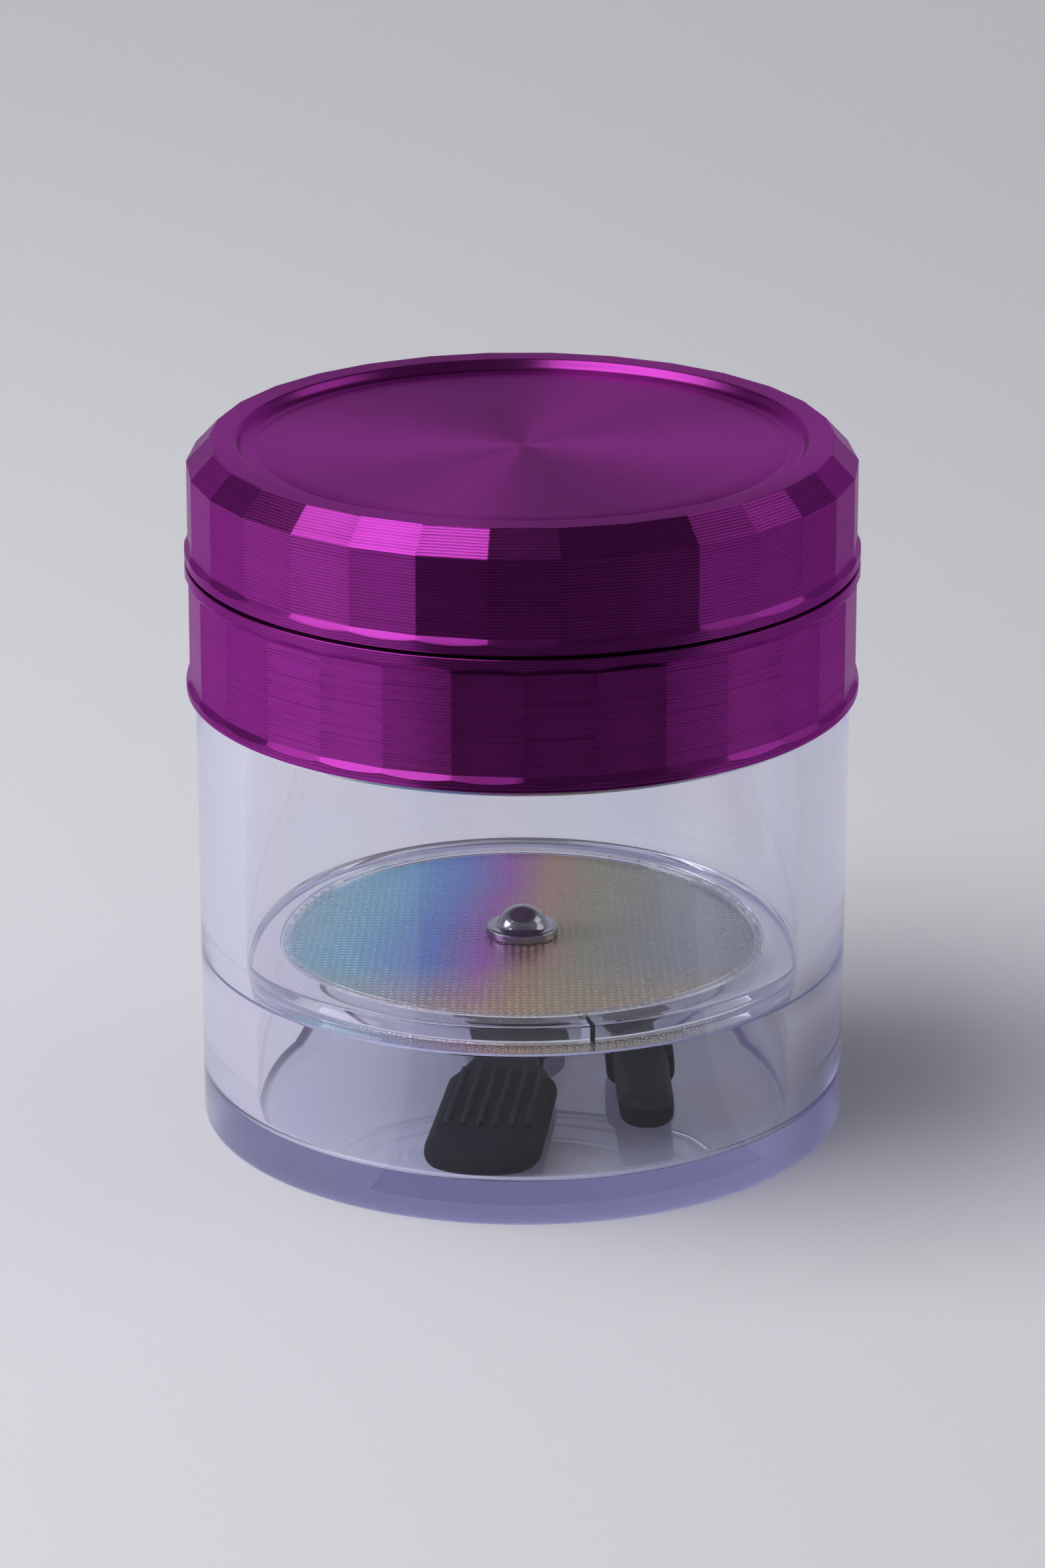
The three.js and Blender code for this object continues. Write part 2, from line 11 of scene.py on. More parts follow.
import bpy
import numpy as np
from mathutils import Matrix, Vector


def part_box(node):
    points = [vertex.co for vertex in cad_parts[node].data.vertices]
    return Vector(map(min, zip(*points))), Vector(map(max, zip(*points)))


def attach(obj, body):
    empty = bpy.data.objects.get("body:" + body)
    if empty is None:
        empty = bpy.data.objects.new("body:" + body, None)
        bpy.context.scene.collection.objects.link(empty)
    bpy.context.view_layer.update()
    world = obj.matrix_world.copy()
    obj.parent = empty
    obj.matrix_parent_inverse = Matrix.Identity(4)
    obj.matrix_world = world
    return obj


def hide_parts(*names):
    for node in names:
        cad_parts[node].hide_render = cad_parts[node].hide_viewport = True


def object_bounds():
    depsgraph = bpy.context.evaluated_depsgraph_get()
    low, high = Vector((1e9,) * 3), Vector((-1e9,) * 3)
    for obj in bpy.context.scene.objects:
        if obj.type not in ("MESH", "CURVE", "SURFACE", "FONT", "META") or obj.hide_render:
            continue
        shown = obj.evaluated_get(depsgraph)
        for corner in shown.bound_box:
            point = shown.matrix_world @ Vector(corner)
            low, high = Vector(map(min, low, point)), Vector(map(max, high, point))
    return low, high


bl_info = {
    "name": "Twist grinder",
    "version": (1, 0, 0),
    "blender": (4, 5, 0),
    "location": "3D View > Sidebar > Grinder",
    "description": "Builds a faceted twist grinder around its fixed frame",
    "category": "Add Mesh",
}

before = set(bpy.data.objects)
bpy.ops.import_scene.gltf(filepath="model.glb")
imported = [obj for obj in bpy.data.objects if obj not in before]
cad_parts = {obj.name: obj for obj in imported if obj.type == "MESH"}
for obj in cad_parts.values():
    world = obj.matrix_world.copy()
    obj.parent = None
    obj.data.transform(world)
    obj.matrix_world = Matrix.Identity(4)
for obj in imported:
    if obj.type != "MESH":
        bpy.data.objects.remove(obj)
cad_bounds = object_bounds()

MM = 0.001

# How each stretch of a turned section is finished.
PLAIN = 0
TURNED = 1
FACET = 2
THREAD = 3


# ---- Places that come from the frame ----


def low(node):
    """Height of a node's lowest point."""
    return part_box(node)[0].z


def high(node):
    """Height of a node's highest point."""
    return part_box(node)[1].z


def outer(node):
    """Radius of a round node that stands on the axis."""
    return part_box(node)[1].x


# ---- What a user can change ----


def length(name, description, default):
    """A size in metres."""
    return bpy.props.FloatProperty(
        name=name, description=description, default=default, min=0.0, precision=5, unit="LENGTH"
    )


def count(name, description, default):
    return bpy.props.IntProperty(name=name, description=description, default=default, min=1)


def angle(name, description, degrees):
    return bpy.props.FloatProperty(
        name=name, description=description, default=math.radians(degrees), subtype="ANGLE"
    )


def colour(name, description, default):
    return bpy.props.FloatVectorProperty(
        name=name, description=description, default=default, size=3, subtype="COLOR", min=0.0, max=1.0
    )


def share(name, description, default):
    return bpy.props.FloatProperty(
        name=name, description=description, default=default, min=0.0, max=1.0, subtype="FACTOR"
    )


class MetalSizes(bpy.types.PropertyGroup):
    """Sizes of the lid and the grinding chamber."""

    facets: count("Facets", "Flat facets round the lid and the chamber", 30)
    facet_inset: length("Facet inset", "Middle of a facet below the round flanges", 0.45 * MM)
    facet_gap: angle("Facet gap", "Half the narrow strip between two facets", 0.07)
    lid_phase: angle("Lid phase", "Azimuth of a facet's edge on the lid", 6.3)
    chamber_phase: angle("Chamber phase", "Azimuth of a facet's edge on the chamber", 0.3)
    flange_height: length("Flange height", "Round flanges above and below the facets", 0.9 * MM)
    run_out_height: length("Run-out height", "Slope from a facet out to a flange", 0.6 * MM)
    groove_pitch: length("Groove pitch", "Distance between the cutter's lines", 0.3 * MM)
    groove_depth: length("Groove depth", "Depth of the cutter's lines on a facet", 0.028 * MM)
    turned_depth: length("Turned depth", "Depth of the turned lines on a flange", 0.014 * MM)
    chamfer_height: length("Chamfer height", "Height of the lid's upper facets", 2.3 * MM)
    chamfer_depth: length("Chamfer depth", "How far the lid's upper facets lean in", 2.15 * MM)
    rim_width: length("Rim width", "Flat rim between the facets and the dish", 2.3 * MM)
    dish_depth: length("Dish depth", "Depth of the round dish in the lid", 0.8 * MM)
    dish_step: length("Dish step", "Width of the rounded step into the dish", 0.55 * MM)
    skirt_wall: length("Skirt wall", "Lid's skirt at the middle of a facet", 2.05 * MM)
    spigot_wall: length("Spigot wall", "Ring on the chamber that guides the lid", 1.8 * MM)
    spigot_clearance: length("Spigot clearance", "Spigot to the lid's skirt", 0.3 * MM)
    ledge_width: length("Ledge width", "Ledge that the tooth plate rests on", 2.0 * MM)
    ledge_thickness: length("Ledge thickness", "Ledge below the tooth plate", 1.5 * MM)
    pocket_clearance: length("Pocket clearance", "Round the glide ring and the seal", 0.15 * MM)


class ToothSizes(bpy.types.PropertyGroup):
    """Sizes of the two tooth plates."""

    plate_thickness: length("Plate thickness", "Both tooth plates", 1.5 * MM)
    tooth_width: length("Tooth width", "Across a tooth, along the radius", 2.4 * MM)
    tooth_length: length("Tooth length", "Along the ring of teeth", 3.6 * MM)
    tooth_chamfer: length("Tooth chamfer", "Bevel round a tooth's tip", 0.35 * MM)
    ring_pitch: length("Ring pitch", "Between a chamber ring and the next lid ring", 3.4 * MM)
    spacing: length("Tooth spacing", "Least distance between teeth in a ring", 10.5 * MM)
    wall_gap: length("Wall gap", "Outer ring of teeth to the wall", 0.4 * MM)
    hole_radius: length("Hole radius", "Holes that the ground herbs fall through", 1.9 * MM)
    boss_radius: length("Boss radius", "Boss that holds the magnet", 5.0 * MM)
    magnet_clearance: length("Magnet clearance", "Magnet to its pocket", 0.1 * MM)


class JarSizes(bpy.types.PropertyGroup):
    """Sizes of the clear jar."""

    wall: length("Wall", "Jar's side wall at the top", 4.5 * MM)
    draft: length("Draft", "How much narrower the jar is at its foot", 0.25 * MM)
    floor: length("Floor", "Thickness of the jar's floor", 3.0 * MM)
    rest_gap: length("Rest gap", "Air left under what lies on the floor or on the ledge", 0.05 * MM)
    foot_round: length("Foot round", "Radius round the jar's foot", 0.9 * MM)
    ledge: length("Ledge", "Ledge that carries the screen", 0.8 * MM)
    neck_wall: length("Neck wall", "Wall of the threaded neck", 1.7 * MM)
    thread_pitch: length("Thread pitch", "Rise of the thread in one turn", 3.0 * MM)
    thread_depth: length("Thread depth", "Height of the thread's ridge", 1.0 * MM)
    thread_turns: bpy.props.FloatProperty(
        name="Thread turns", description="Turns of the thread", default=1.5, min=0.5, max=2.0
    )
    thread_root: length("Thread root", "Width of the ridge at its root", 1.2 * MM)
    thread_crest: length("Thread crest", "Width of the ridge at its crest", 0.6 * MM)
    thread_clearance: length("Thread clearance", "Jar's thread to the chamber's", 0.3 * MM)


class ScreenSizes(bpy.types.PropertyGroup):
    """Sizes of the lift-out screen."""

    carrier_width: length("Carrier width", "Clear ring that carries the mesh", 4.4 * MM)
    lip_width: length("Lip width", "Lip that stands round the mesh", 3.1 * MM)
    split_width: length("Split width", "Cut through the clear ring", 0.4 * MM)
    split_azimuth: angle("Split azimuth", "Where the clear ring is cut", 13.5)
    clamp_width: length("Clamp width", "Ring that holds the mesh down", 0.75 * MM)
    wire_pitch: length("Wire pitch", "Between neighbouring wires", 0.5 * MM)
    wire_width: length("Wire width", "Across a flattened wire", 0.3 * MM)
    shank_radius: length("Shank radius", "Stud's shank", 1.2 * MM)
    shank_hole: length("Shank hole", "Radius of the hole for the shank", 1.35 * MM)
    flange_height: length("Stud flange", "Height of the stud's flange", 0.9 * MM)
    dome_radius: length("Dome radius", "Stud's dome", 2.3 * MM)
    nut_across: length("Nut across flats", "Hexagon nut below the mesh", 4.4 * MM)


class ToolSizes(bpy.types.PropertyGroup):
    """Sizes of the scraper and the brush."""

    scraper_turn: angle("Scraper turn", "How far the scraper points to the right", 6.0)
    scraper_offset: length("Scraper offset", "Front end of the scraper, left of the middle", 4.0 * MM)
    grip_width: length("Grip width", "Scraper's ribbed grip", 10.4 * MM)
    neck_width: length("Neck width", "Between the grip and the blade", 6.4 * MM)
    neck_length: length("Neck length", "Between the grip and the blade", 4.0 * MM)
    blade_width: length("Blade width", "Scraper's blade", 10.0 * MM)
    blade_length: length("Blade length", "Scraper's blade", 13.0 * MM)
    blade_thickness: length("Blade thickness", "Scraper's blade", 1.2 * MM)
    ribs: count("Ribs", "Ribs on the scraper's grip", 6)
    rib_width: length("Rib width", "Width of a rib", 0.7 * MM)
    rib_pitch: length("Rib pitch", "Between neighbouring ribs", 1.45 * MM)
    rib_height: length("Rib height", "How far a rib stands up", 0.45 * MM)
    rib_start: length("Rib start", "From the front end to the ribs", 7.4 * MM)
    rib_end: length("Rib end", "From the ribs to the grip's end", 3.6 * MM)
    handle_taper: length("Handle taper", "How much narrower the brush's front end is", 0.5 * MM)
    ferrule_wall: length("Ferrule wall", "Sleeve that holds the bristles", 0.5 * MM)
    bristles_across: count("Bristles across", "Bristles side by side", 22)
    bristles_deep: count("Bristles deep", "Layers of bristles", 10)
    bristle_radius: length("Bristle radius", "One bristle", 0.085 * MM)


class FinishSettings(bpy.types.PropertyGroup):
    """Colours and roughness of the finishes."""

    anodised: colour("Anodised", "Dyed aluminium", (0.3, 0.022, 0.285))
    anodised_roughness: share("Anodised roughness", "Dyed aluminium", 0.3)
    clear: colour("Clear plastic", "Surface tint of the clear plastic", (0.99, 0.99, 1.0))
    absorption: colour("Absorption", "What thick clear plastic lets through", (0.2, 0.2, 0.93))
    silicone: colour("Silicone", "Seal between the jar and the chamber", (0.42, 0.41, 0.46))
    polymer: colour("Glide polymer", "Ring that the lid slides on", (0.012, 0.012, 0.014))
    nickel: colour("Nickel", "Plated steel", (0.56, 0.56, 0.6))
    tool: colour("Tool plastic", "Scraper and brush", (0.009, 0.009, 0.011))
    fibre: colour("Brush fibre", "Bristles", (0.016, 0.015, 0.018))
    backdrop: colour("Backdrop", "Floor and sweep", (0.85, 0.85, 0.9))


class StageSettings(bpy.types.PropertyGroup):
    """Camera and lamps."""

    distance: length("Camera distance", "From the camera to the grinder", 0.6143)
    elevation: angle("Camera elevation", "Camera's angle above the horizon", 19.32)
    aim_drop: length("Aim drop", "Aim below the middle of the grinder", 0.86 * MM)
    lens: bpy.props.FloatProperty(name="Lens", description="Focal length", default=149.5, unit="CAMERA")
    brightness: bpy.props.FloatProperty(
        name="Brightness", description="Factor on all the lamps", default=1.0, min=0.0
    )


# ---- Meshes ----


def new_piece(name, vertices, faces):
    """An object from vertices and faces, shaded smooth."""
    mesh = bpy.data.meshes.new(name)
    mesh.from_pydata(vertices, [], faces)
    mesh.validate()
    mesh.shade_smooth()
    piece = bpy.data.objects.new(name, mesh)
    bpy.context.scene.collection.objects.link(piece)
    return piece


def crease(piece, degrees=30.0):
    """Marks edges that bend more than this as sharp."""
    piece.data.set_sharp_from_angle(angle=math.radians(degrees))
    return piece


def merged(pieces, name):
    """One object from several, with their meshes side by side."""
    vertices, faces = [], []
    for piece in pieces:
        start = len(vertices)
        vertices.extend(tuple(piece.matrix_world @ v.co) for v in piece.data.vertices)
        faces.extend([start + i for i in face.vertices] for face in piece.data.polygons)
        remove(piece)
    return new_piece(name, vertices, faces)


def remove(piece):
    mesh = piece.data
    bpy.data.objects.remove(piece)
    bpy.data.meshes.remove(mesh)


def combined(base, other, operation):
    """Joins the other object to the base or cuts it away, and removes the other object."""
    modifier = base.modifiers.new("combine", "BOOLEAN")
    modifier.operation = operation
    modifier.solver = "MANIFOLD"
    modifier.object = other
    graph = bpy.context.evaluated_depsgraph_get()
    mesh = bpy.data.meshes.new_from_object(base.evaluated_get(graph), depsgraph=graph)
    if len(mesh.polygons) == 0:
        raise RuntimeError(f"nothing is left of {base.name} after {operation}")
    base.modifiers.remove(modifier)
    before = base.data
    base.data = mesh
    bpy.data.meshes.remove(before)
    mesh.name = base.name
    remove(other)
    return base


def corner(radius, height, rounding=0.0, steps=1, kind=PLAIN):
    """A corner of a section: its place, its rounding, and the finish of the stretch that leads to it."""
    return (radius, height, rounding, steps, kind)


def trace(corners, closed, arc_steps=6):
    """Points along a section, with each point's finish and whether a crease runs through it."""
    places = [np.array(c[:2], float) for c in corners]
    total = len(corners)
    points, kinds, creases = [], [], []
    last = places[-1] if closed else None
    if closed:
        last = _arc(places, total - 1, corners[-1][2], arc_steps)[-1]
    for i, (_, _, rounding, steps, kind) in enumerate(corners):
        ends = not closed and i in (0, total - 1)
        arc = [places[i]] if ends else _arc(places, i, rounding, arc_steps)
        if last is not None:
            for step in range(1, steps):
                points.append(last + (arc[0] - last) * step / steps)
                kinds.append(kind)
                creases.append(False)
        for point in arc:
            points.append(point)
            kinds.append(kind if point is arc[0] else PLAIN)
            creases.append(len(arc) == 1 and not ends and _bends(places, i))
        last = arc[-1]
    return np.array(points), np.array(kinds), np.array(creases)


def _directions(places, i):
    """Unit directions into and out of a corner."""
    before = places[i] - places[i - 1]
    after = places[(i + 1) % len(places)] - places[i]
    return before / np.linalg.norm(before), after / np.linalg.norm(after)


def _bends(places, i):
    before, after = _directions(places, i)
    return float(before @ after) < math.cos(math.radians(20))


def _arc(places, i, rounding, steps):
    """Points round a corner, or the corner itself where it has no rounding."""
    if rounding == 0.0:
        return [places[i]]
    before, after = _directions(places, i)
    turn = math.atan2(before[0] * after[1] - before[1] * after[0], float(before @ after))
    cut = rounding * math.tan(abs(turn) / 2)
    side = math.copysign(1.0, turn)
    start = places[i] - before * cut
    centre = start + side * rounding * np.array([-before[1], before[0]])
    arm = start - centre
    points = []
    for step in range(steps + 1):
        a = turn * step / steps
        reach_x = arm[0] * math.cos(a) - arm[1] * math.sin(a)
        reach_y = arm[0] * math.sin(a) + arm[1] * math.cos(a)
        points.append(centre + [reach_x, reach_y])
    return points


def turned_grid(name, radius, height, azimuth, closed, crease_rows, crease_columns=None, cuts=None):
    """A turned body from grids of radius and height, one row for each point of its section. Its edges
    are sharp along the marked rows, and along the marked columns where those marks meet. cuts says how
    far down in a cutter's line each point is, which the finish uses to paint shade into the lines."""
    rows, columns = radius.shape
    place = np.stack([radius * np.sin(azimuth), -radius * np.cos(azimuth), height], axis=2).reshape(-1, 3)
    index = np.arange(rows * columns).reshape(rows, columns)
    if not closed:
        index[0] = index[0, 0]
        index[-1] = index[-1, 0]
    above = np.roll(index, -1, axis=0)
    quads = np.stack([index, np.roll(index, -1, axis=1), np.roll(above, -1, axis=1), above], axis=2)
    if not closed:
        quads = quads[:-1]
    quads = quads.reshape(-1, 4)
    used = np.unique(quads)
    fresh = np.full(rows * columns, -1)
    fresh[used] = np.arange(len(used))
    faces = [list(dict.fromkeys(face)) for face in fresh[quads].tolist()]
    piece = new_piece(name, place[used].tolist(), faces)
    _crease_grid(piece, used // columns, used % columns, crease_rows, crease_columns)
    if cuts is not None:
        shares = piece.data.attributes.new("cut", "FLOAT", "POINT")
        shares.data.foreach_set("value", cuts.reshape(-1)[used].astype(np.float32))
    return piece


def _crease_grid(piece, row, column, crease_rows, crease_columns):
    """Marks the sharp edges of a turned body."""
    mesh = piece.data
    ends = np.zeros(2 * len(mesh.edges), np.int32)
    mesh.edges.foreach_get("vertices", ends)
    a, b = ends[0::2], ends[1::2]
    sharp = (row[a] == row[b]) & crease_rows[row[a]]
    if crease_columns is not None:
        along = column[a] == column[b]
        sharp |= along & crease_columns[row[a], column[a]] & crease_columns[row[b], column[b]]
    mark = mesh.attributes.new("sharp_edge", "BOOLEAN", "EDGE")
    mark.data.foreach_set("value", sharp)


def turned(name, corners, closed=False, columns=96, arc_steps=6):
    """A round body turned about Z from the corners of its section, which run anticlockwise."""
    points, _, creases = trace(corners, closed, arc_steps)
    azimuth = np.linspace(0, 2 * math.pi, columns, endpoint=False)[None, :]
    radius = np.repeat(points[:, :1], columns, axis=1)
    height = np.repeat(points[:, 1:], columns, axis=1)
    return turned_grid(name, radius, height, azimuth, closed, creases)


def ring(name, inner, outer_radius, bottom, top, rounding, columns=192):
    """A ring with rounded edges."""
    corners = [
        corner(inner, bottom, rounding),
        corner(outer_radius, bottom, rounding),
        corner(outer_radius, top, rounding),
        corner(inner, top, rounding),
    ]
    return turned(name, corners, closed=True, columns=columns, arc_steps=4)


def inset(outline, distance):
    """An outline moved inwards by a distance."""
    points = np.array(outline, float)
    before = points - np.roll(points, 1, axis=0)
    after = np.roll(points, -1, axis=0) - points
    before /= np.linalg.norm(before, axis=1)[:, None]
    after /= np.linalg.norm(after, axis=1)[:, None]
    left_before = np.stack([-before[:, 1], before[:, 0]], axis=1)
    left_after = np.stack([-after[:, 1], after[:, 0]], axis=1)
    middle = left_before + left_after
    middle /= np.maximum(np.sum(middle * left_after, axis=1), 0.3)[:, None]
    return points + middle * distance


def stacked(name, outline, levels):
    """A body that stands on an outline. Each level is a height and how far the outline is inset there."""
    total = len(outline)
    vertices, faces = [], []
    for height, distance in levels:
        vertices.extend((x, y, height) for x, y in inset(outline, distance))
    for level in range(len(levels) - 1):
        for i in range(total):
            j = (i + 1) % total
            start = level * total
            faces.append([start + i, start + j, start + total + j, start + total + i])
    faces.append(list(range(total - 1, -1, -1)))
    faces.append(list(range((len(levels) - 1) * total, len(levels) * total)))
    return new_piece(name, vertices, faces)


def rounded_outline(corners, arc_steps=6):
    """A flat outline from (x, y, rounding) corners."""
    points, _, _ = trace([corner(x, y, r) for x, y, r in corners], True, arc_steps)
    return points


def rounded_levels(bottom, top, rounding, steps=4):
    """Levels of a body whose lower and upper edges are rounded."""
    levels = []
    for step in range(steps + 1):
        a = math.pi / 2 * step / steps
        levels.append((bottom + rounding * (1 - math.sin(a)), rounding * (1 - math.cos(a))))
    levels = levels[::-1]
    return levels + [(top - (z - bottom), d) for z, d in reversed(levels)]


def put(piece, place, turn=0.0):
    """Turns a mesh about Z and moves it to its place."""
    c, s = math.cos(turn), math.sin(turn)
    for vertex in piece.data.vertices:
        x, y, z = vertex.co
        vertex.co = (place[0] + c * x - s * y, place[1] + s * x + c * y, place[2] + z)
    return piece


def fit(piece, finish, body, slot, *nodes):
    """Gives a piece its finish, hangs it on the body that it rides on, and hides the frame's nodes that it
    stands for.
    """
    piece.data.materials.clear()
    piece.data.materials.append(finish)
    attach(piece, body)
    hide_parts(*nodes)
    return piece


# ---- Threads ----


def thread_bulge(azimuth, height, start, sizes):
    """How far a right-hand thread's ridge stands up, from 0 to 1, at each azimuth and height."""
    turn = 2 * math.pi
    bulge = np.zeros(np.broadcast(azimuth, height).shape)
    taper = math.radians(25)
    last = sizes.thread_turns * turn
    for lap in range(math.ceil(sizes.thread_turns)):
        along = azimuth % turn + lap * turn
        fade = np.clip(np.minimum(along, last - along) / taper, 0, 1)
        off = np.abs(height - start - sizes.thread_pitch * along / turn)
        flank = (sizes.thread_root - sizes.thread_crest) / 2
        ridge = np.clip((sizes.thread_root / 2 - off) / flank, 0, 1)
        ridge = ridge * ridge * (3 - 2 * ridge)
        bulge = np.maximum(bulge, ridge * fade)
    return bulge


def seal_top():
    return high("jar_seal")


def neck_radius(sizes):
    return outer("jar") - sizes.wall + sizes.neck_wall


def socket_radius(sizes):
    return neck_radius(sizes) + sizes.thread_depth + sizes.thread_clearance


# ---- Faceted metal ----


COLUMNS_PER_FACET = 8
ROWS_PER_GROOVE = 4


def faceted(name, section_at, phase, sizes, edge_grooves, seed):
    """A turned body with flat facets. section_at gives the corners of its section at an angle from a
    facet's middle, whether it closes, and the facets carry a cutter's lines."""
    half = math.pi / sizes.facets - sizes.facet_gap
    spread = np.linspace(-half, half, COLUMNS_PER_FACET)
    traced = [trace(section_at(delta), section_at.closed) for delta in spread]
    _, kinds, creases = traced[0]
    sections = np.stack([points for points, _, _ in traced], axis=1)
    sections = np.tile(sections, (1, sizes.facets, 1))
    middles = phase + (np.arange(sizes.facets) + 0.5) * 2 * math.pi / sizes.facets
    azimuth = (middles[:, None] + spread[None, :]).reshape(1, -1)
    depth = groove_depths(sections, kinds, spread / half, sizes, edge_grooves, seed)
    along = np.roll(sections, -1, axis=0) - np.roll(sections, 1, axis=0)
    along /= np.maximum(np.linalg.norm(along, axis=2), 1e-9)[:, :, None]
    radius = sections[:, :, 0] - depth * along[:, :, 1]
    height = sections[:, :, 1] + depth * along[:, :, 0]
    if section_at.thread_start is not None:
        jar = bpy.context.scene.grinder_jar
        cut = thread_bulge(azimuth, height, section_at.thread_start, jar) * jar.thread_depth
        radius -= np.where((kinds == THREAD)[:, None], cut, 0)
    edges = np.zeros(COLUMNS_PER_FACET, bool)
    edges[[0, -1]] = True
    facet_rows = (kinds == FACET) | np.roll(kinds == FACET, -1)
    crease_columns = facet_rows[:, None] & np.tile(edges, sizes.facets)[None, :]
    cuts = depth / np.where(kinds == TURNED, sizes.turned_depth, sizes.groove_depth)[:, None]
    return turned_grid(name, radius, height, azimuth, section_at.closed, creases, crease_columns, cuts)


def groove_depths(sections, kinds, across, sizes, edge_grooves, seed):
    """How deep the cutter's lines are at each point. They differ a little from facet to facet, and may
    fade towards the middle of each facet."""
    draw = np.random.default_rng(seed)
    rows, columns, _ = sections.shape
    facets = sizes.facets
    steps = np.linalg.norm(np.diff(sections[:, COLUMNS_PER_FACET // 2], axis=0), axis=1)
    run = np.concatenate([[0], np.cumsum(steps)])
    phase = run[:, None] / sizes.groove_pitch + draw.uniform(0, 1, facets)[None, :]
    lines = np.floor(phase).astype(int)
    strength = draw.uniform(1 - 0.6 * edge_grooves, 1.1, (lines.max() + 1, facets))
    fades = draw.uniform(0.1, 1.0, (lines.max() + 1, facets))
    facet = np.arange(facets)[None, :]
    wave = (0.5 - 0.5 * np.cos(2 * math.pi * phase)) * strength[lines, facet]
    kept = 1 - edge_grooves * fades[lines, facet][:, :, None] * (1 - np.abs(across)[None, None, :] ** 2)
    cut = (wave[:, :, None] * kept).reshape(rows, columns) * sizes.groove_depth
    fine = (0.5 - 0.5 * np.cos(2 * math.pi * run / (0.75 * sizes.groove_pitch))) * sizes.turned_depth
    depth = np.where((kinds == FACET)[:, None], cut, 0.0)
    return np.where((kinds == TURNED)[:, None], fine[:, None], depth)


def groove_rows(length_along, sizes):
    return max(2, round(length_along / sizes.groove_pitch * ROWS_PER_GROOVE))


class FacetShape:
    """Radii and heights that the lid's and the chamber's facets share."""

    def __init__(self, sizes):
        self.sizes = sizes
        self.grip = outer("lid")
        self.apothem = self.grip - sizes.facet_inset
        self.slope = sizes.run_out_height / sizes.facet_inset

    def run_out(self, delta):
        """Height of the slope from a facet out to the round flange, this far from a facet's middle."""
        return (self.grip * math.cos(delta) - self.apothem) * self.slope


class LidSection:
    """The lid's section, from the axis under its plate to the axis on top."""

    closed = False
    thread_start = None

    def __init__(self, sizes):
        self.shape = FacetShape(sizes)
        self.sizes = sizes

    def __call__(self, delta):
        sizes, shape = self.sizes, self.shape
        bottom, top = low("lid"), high("lid")
        underside = high("lid_tooth_plate")
        skirt = shape.apothem - sizes.skirt_wall
        pocket = outer("glide_ring") + sizes.pocket_clearance
        facet_foot = bottom + sizes.flange_height + sizes.run_out_height
        chamfer = top - sizes.chamfer_height
        flat = shape.apothem / math.cos(delta)
        edge = shape.apothem / math.cos(math.pi / sizes.facets) - sizes.chamfer_depth
        top_flat = edge * math.cos(math.pi / sizes.facets) / math.cos(delta)
        rim = shape.apothem - sizes.chamfer_depth - sizes.rim_width
        dish = rim - sizes.dish_step
        floor = top - sizes.dish_depth
        slant = math.hypot(sizes.chamfer_height, sizes.chamfer_depth)
        line = 0.12 * MM
        return [
            corner(0, underside),
            corner(skirt, underside, 0.4 * MM, 4),
            corner(skirt, high("glide_ring")),
            corner(pocket, high("glide_ring")),
            corner(pocket, bottom, 0.06 * MM),
            corner(shape.grip, bottom, 0.22 * MM),
            corner(shape.grip, facet_foot - shape.run_out(delta), 0, 16, TURNED),
            corner(flat, facet_foot, 0, 4),
            corner(flat, chamfer, 0, groove_rows(chamfer - facet_foot, sizes), FACET),
            corner(top_flat, top, 0, groove_rows(slant, sizes), FACET),
            corner(rim, top, 0.35 * MM, 6),
            corner(dish, floor, 0.5 * MM, 2),
            corner(dish - 1.2 * MM, floor, 0, 2),
            corner(dish - 1.2 * MM - line, floor - 0.03 * MM),
            corner(dish - 1.2 * MM - 2 * line, floor),
            corner(0, floor, 0, 12),
        ]


class ChamberSection:
    """The chamber's section, which closes on itself: outside, spigot, ledge, threaded socket."""

    closed = True

    def __init__(self, sizes, jar):
        self.shape = FacetShape(sizes)
        self.sizes = sizes
        self.jar = jar
        self.thread_start = seal_top() + jar.thread_root + jar.thread_pitch / 2

    def __call__(self, delta):
        sizes, shape = self.sizes, self.shape
        bottom, top = low("grinding_chamber"), low("glide_ring")
        spigot_top = high("grinding_chamber")
        spigot = shape.apothem - sizes.skirt_wall - sizes.spigot_clearance
        inner = spigot - sizes.spigot_wall
        seat = low("chamber_tooth_plate")
        under_ledge = seat - sizes.ledge_thickness
        lower = bottom + sizes.flange_height + sizes.run_out_height
        upper = top - sizes.flange_height - sizes.run_out_height
        flat = shape.apothem / math.cos(delta)
        pocket = outer("jar_seal") + 0.1 * MM
        socket = socket_radius(self.jar)
        return [
            corner(pocket, bottom, 0.05 * MM),
            corner(shape.grip, bottom, 0.4 * MM),
            corner(shape.grip, lower - shape.run_out(delta), 0, 12, TURNED),
            corner(flat, lower, 0, 4),
            corner(flat, upper, 0, groove_rows(upper - lower, sizes), FACET),
            corner(shape.grip, upper + shape.run_out(delta), 0, 4),
            corner(shape.grip, top, 0.12 * MM, 16, TURNED),
            corner(spigot, top, 0, 3),
            corner(spigot, spigot_top, 0.3 * MM, 6),
            corner(inner, spigot_top, 0.3 * MM),
            corner(inner, seat, 0, 6),
            corner(inner - sizes.ledge_width, seat, 0.15 * MM),
            corner(inner - sizes.ledge_width, under_ledge, 0.15 * MM),
            corner(socket, under_ledge, 0.2 * MM, 2),
            corner(socket, seal_top(), 0, 80, THREAD),
            corner(pocket, seal_top()),
        ]


# ---- Tooth plates ----


def tooth_rings(sizes, teeth):
    """Radii of the rings of teeth, from the outside in: they belong to the chamber and the lid in turn."""
    spigot = outer("lid") - sizes.facet_inset - sizes.skirt_wall - sizes.spigot_clearance
    radius = spigot - sizes.spigot_wall - teeth.wall_gap - teeth.tooth_width / 2
    least = teeth.boss_radius + teeth.wall_gap + teeth.tooth_width / 2
    rings = []
    while radius >= least:
        rings.append(radius)
        radius -= teeth.ring_pitch
    return rings


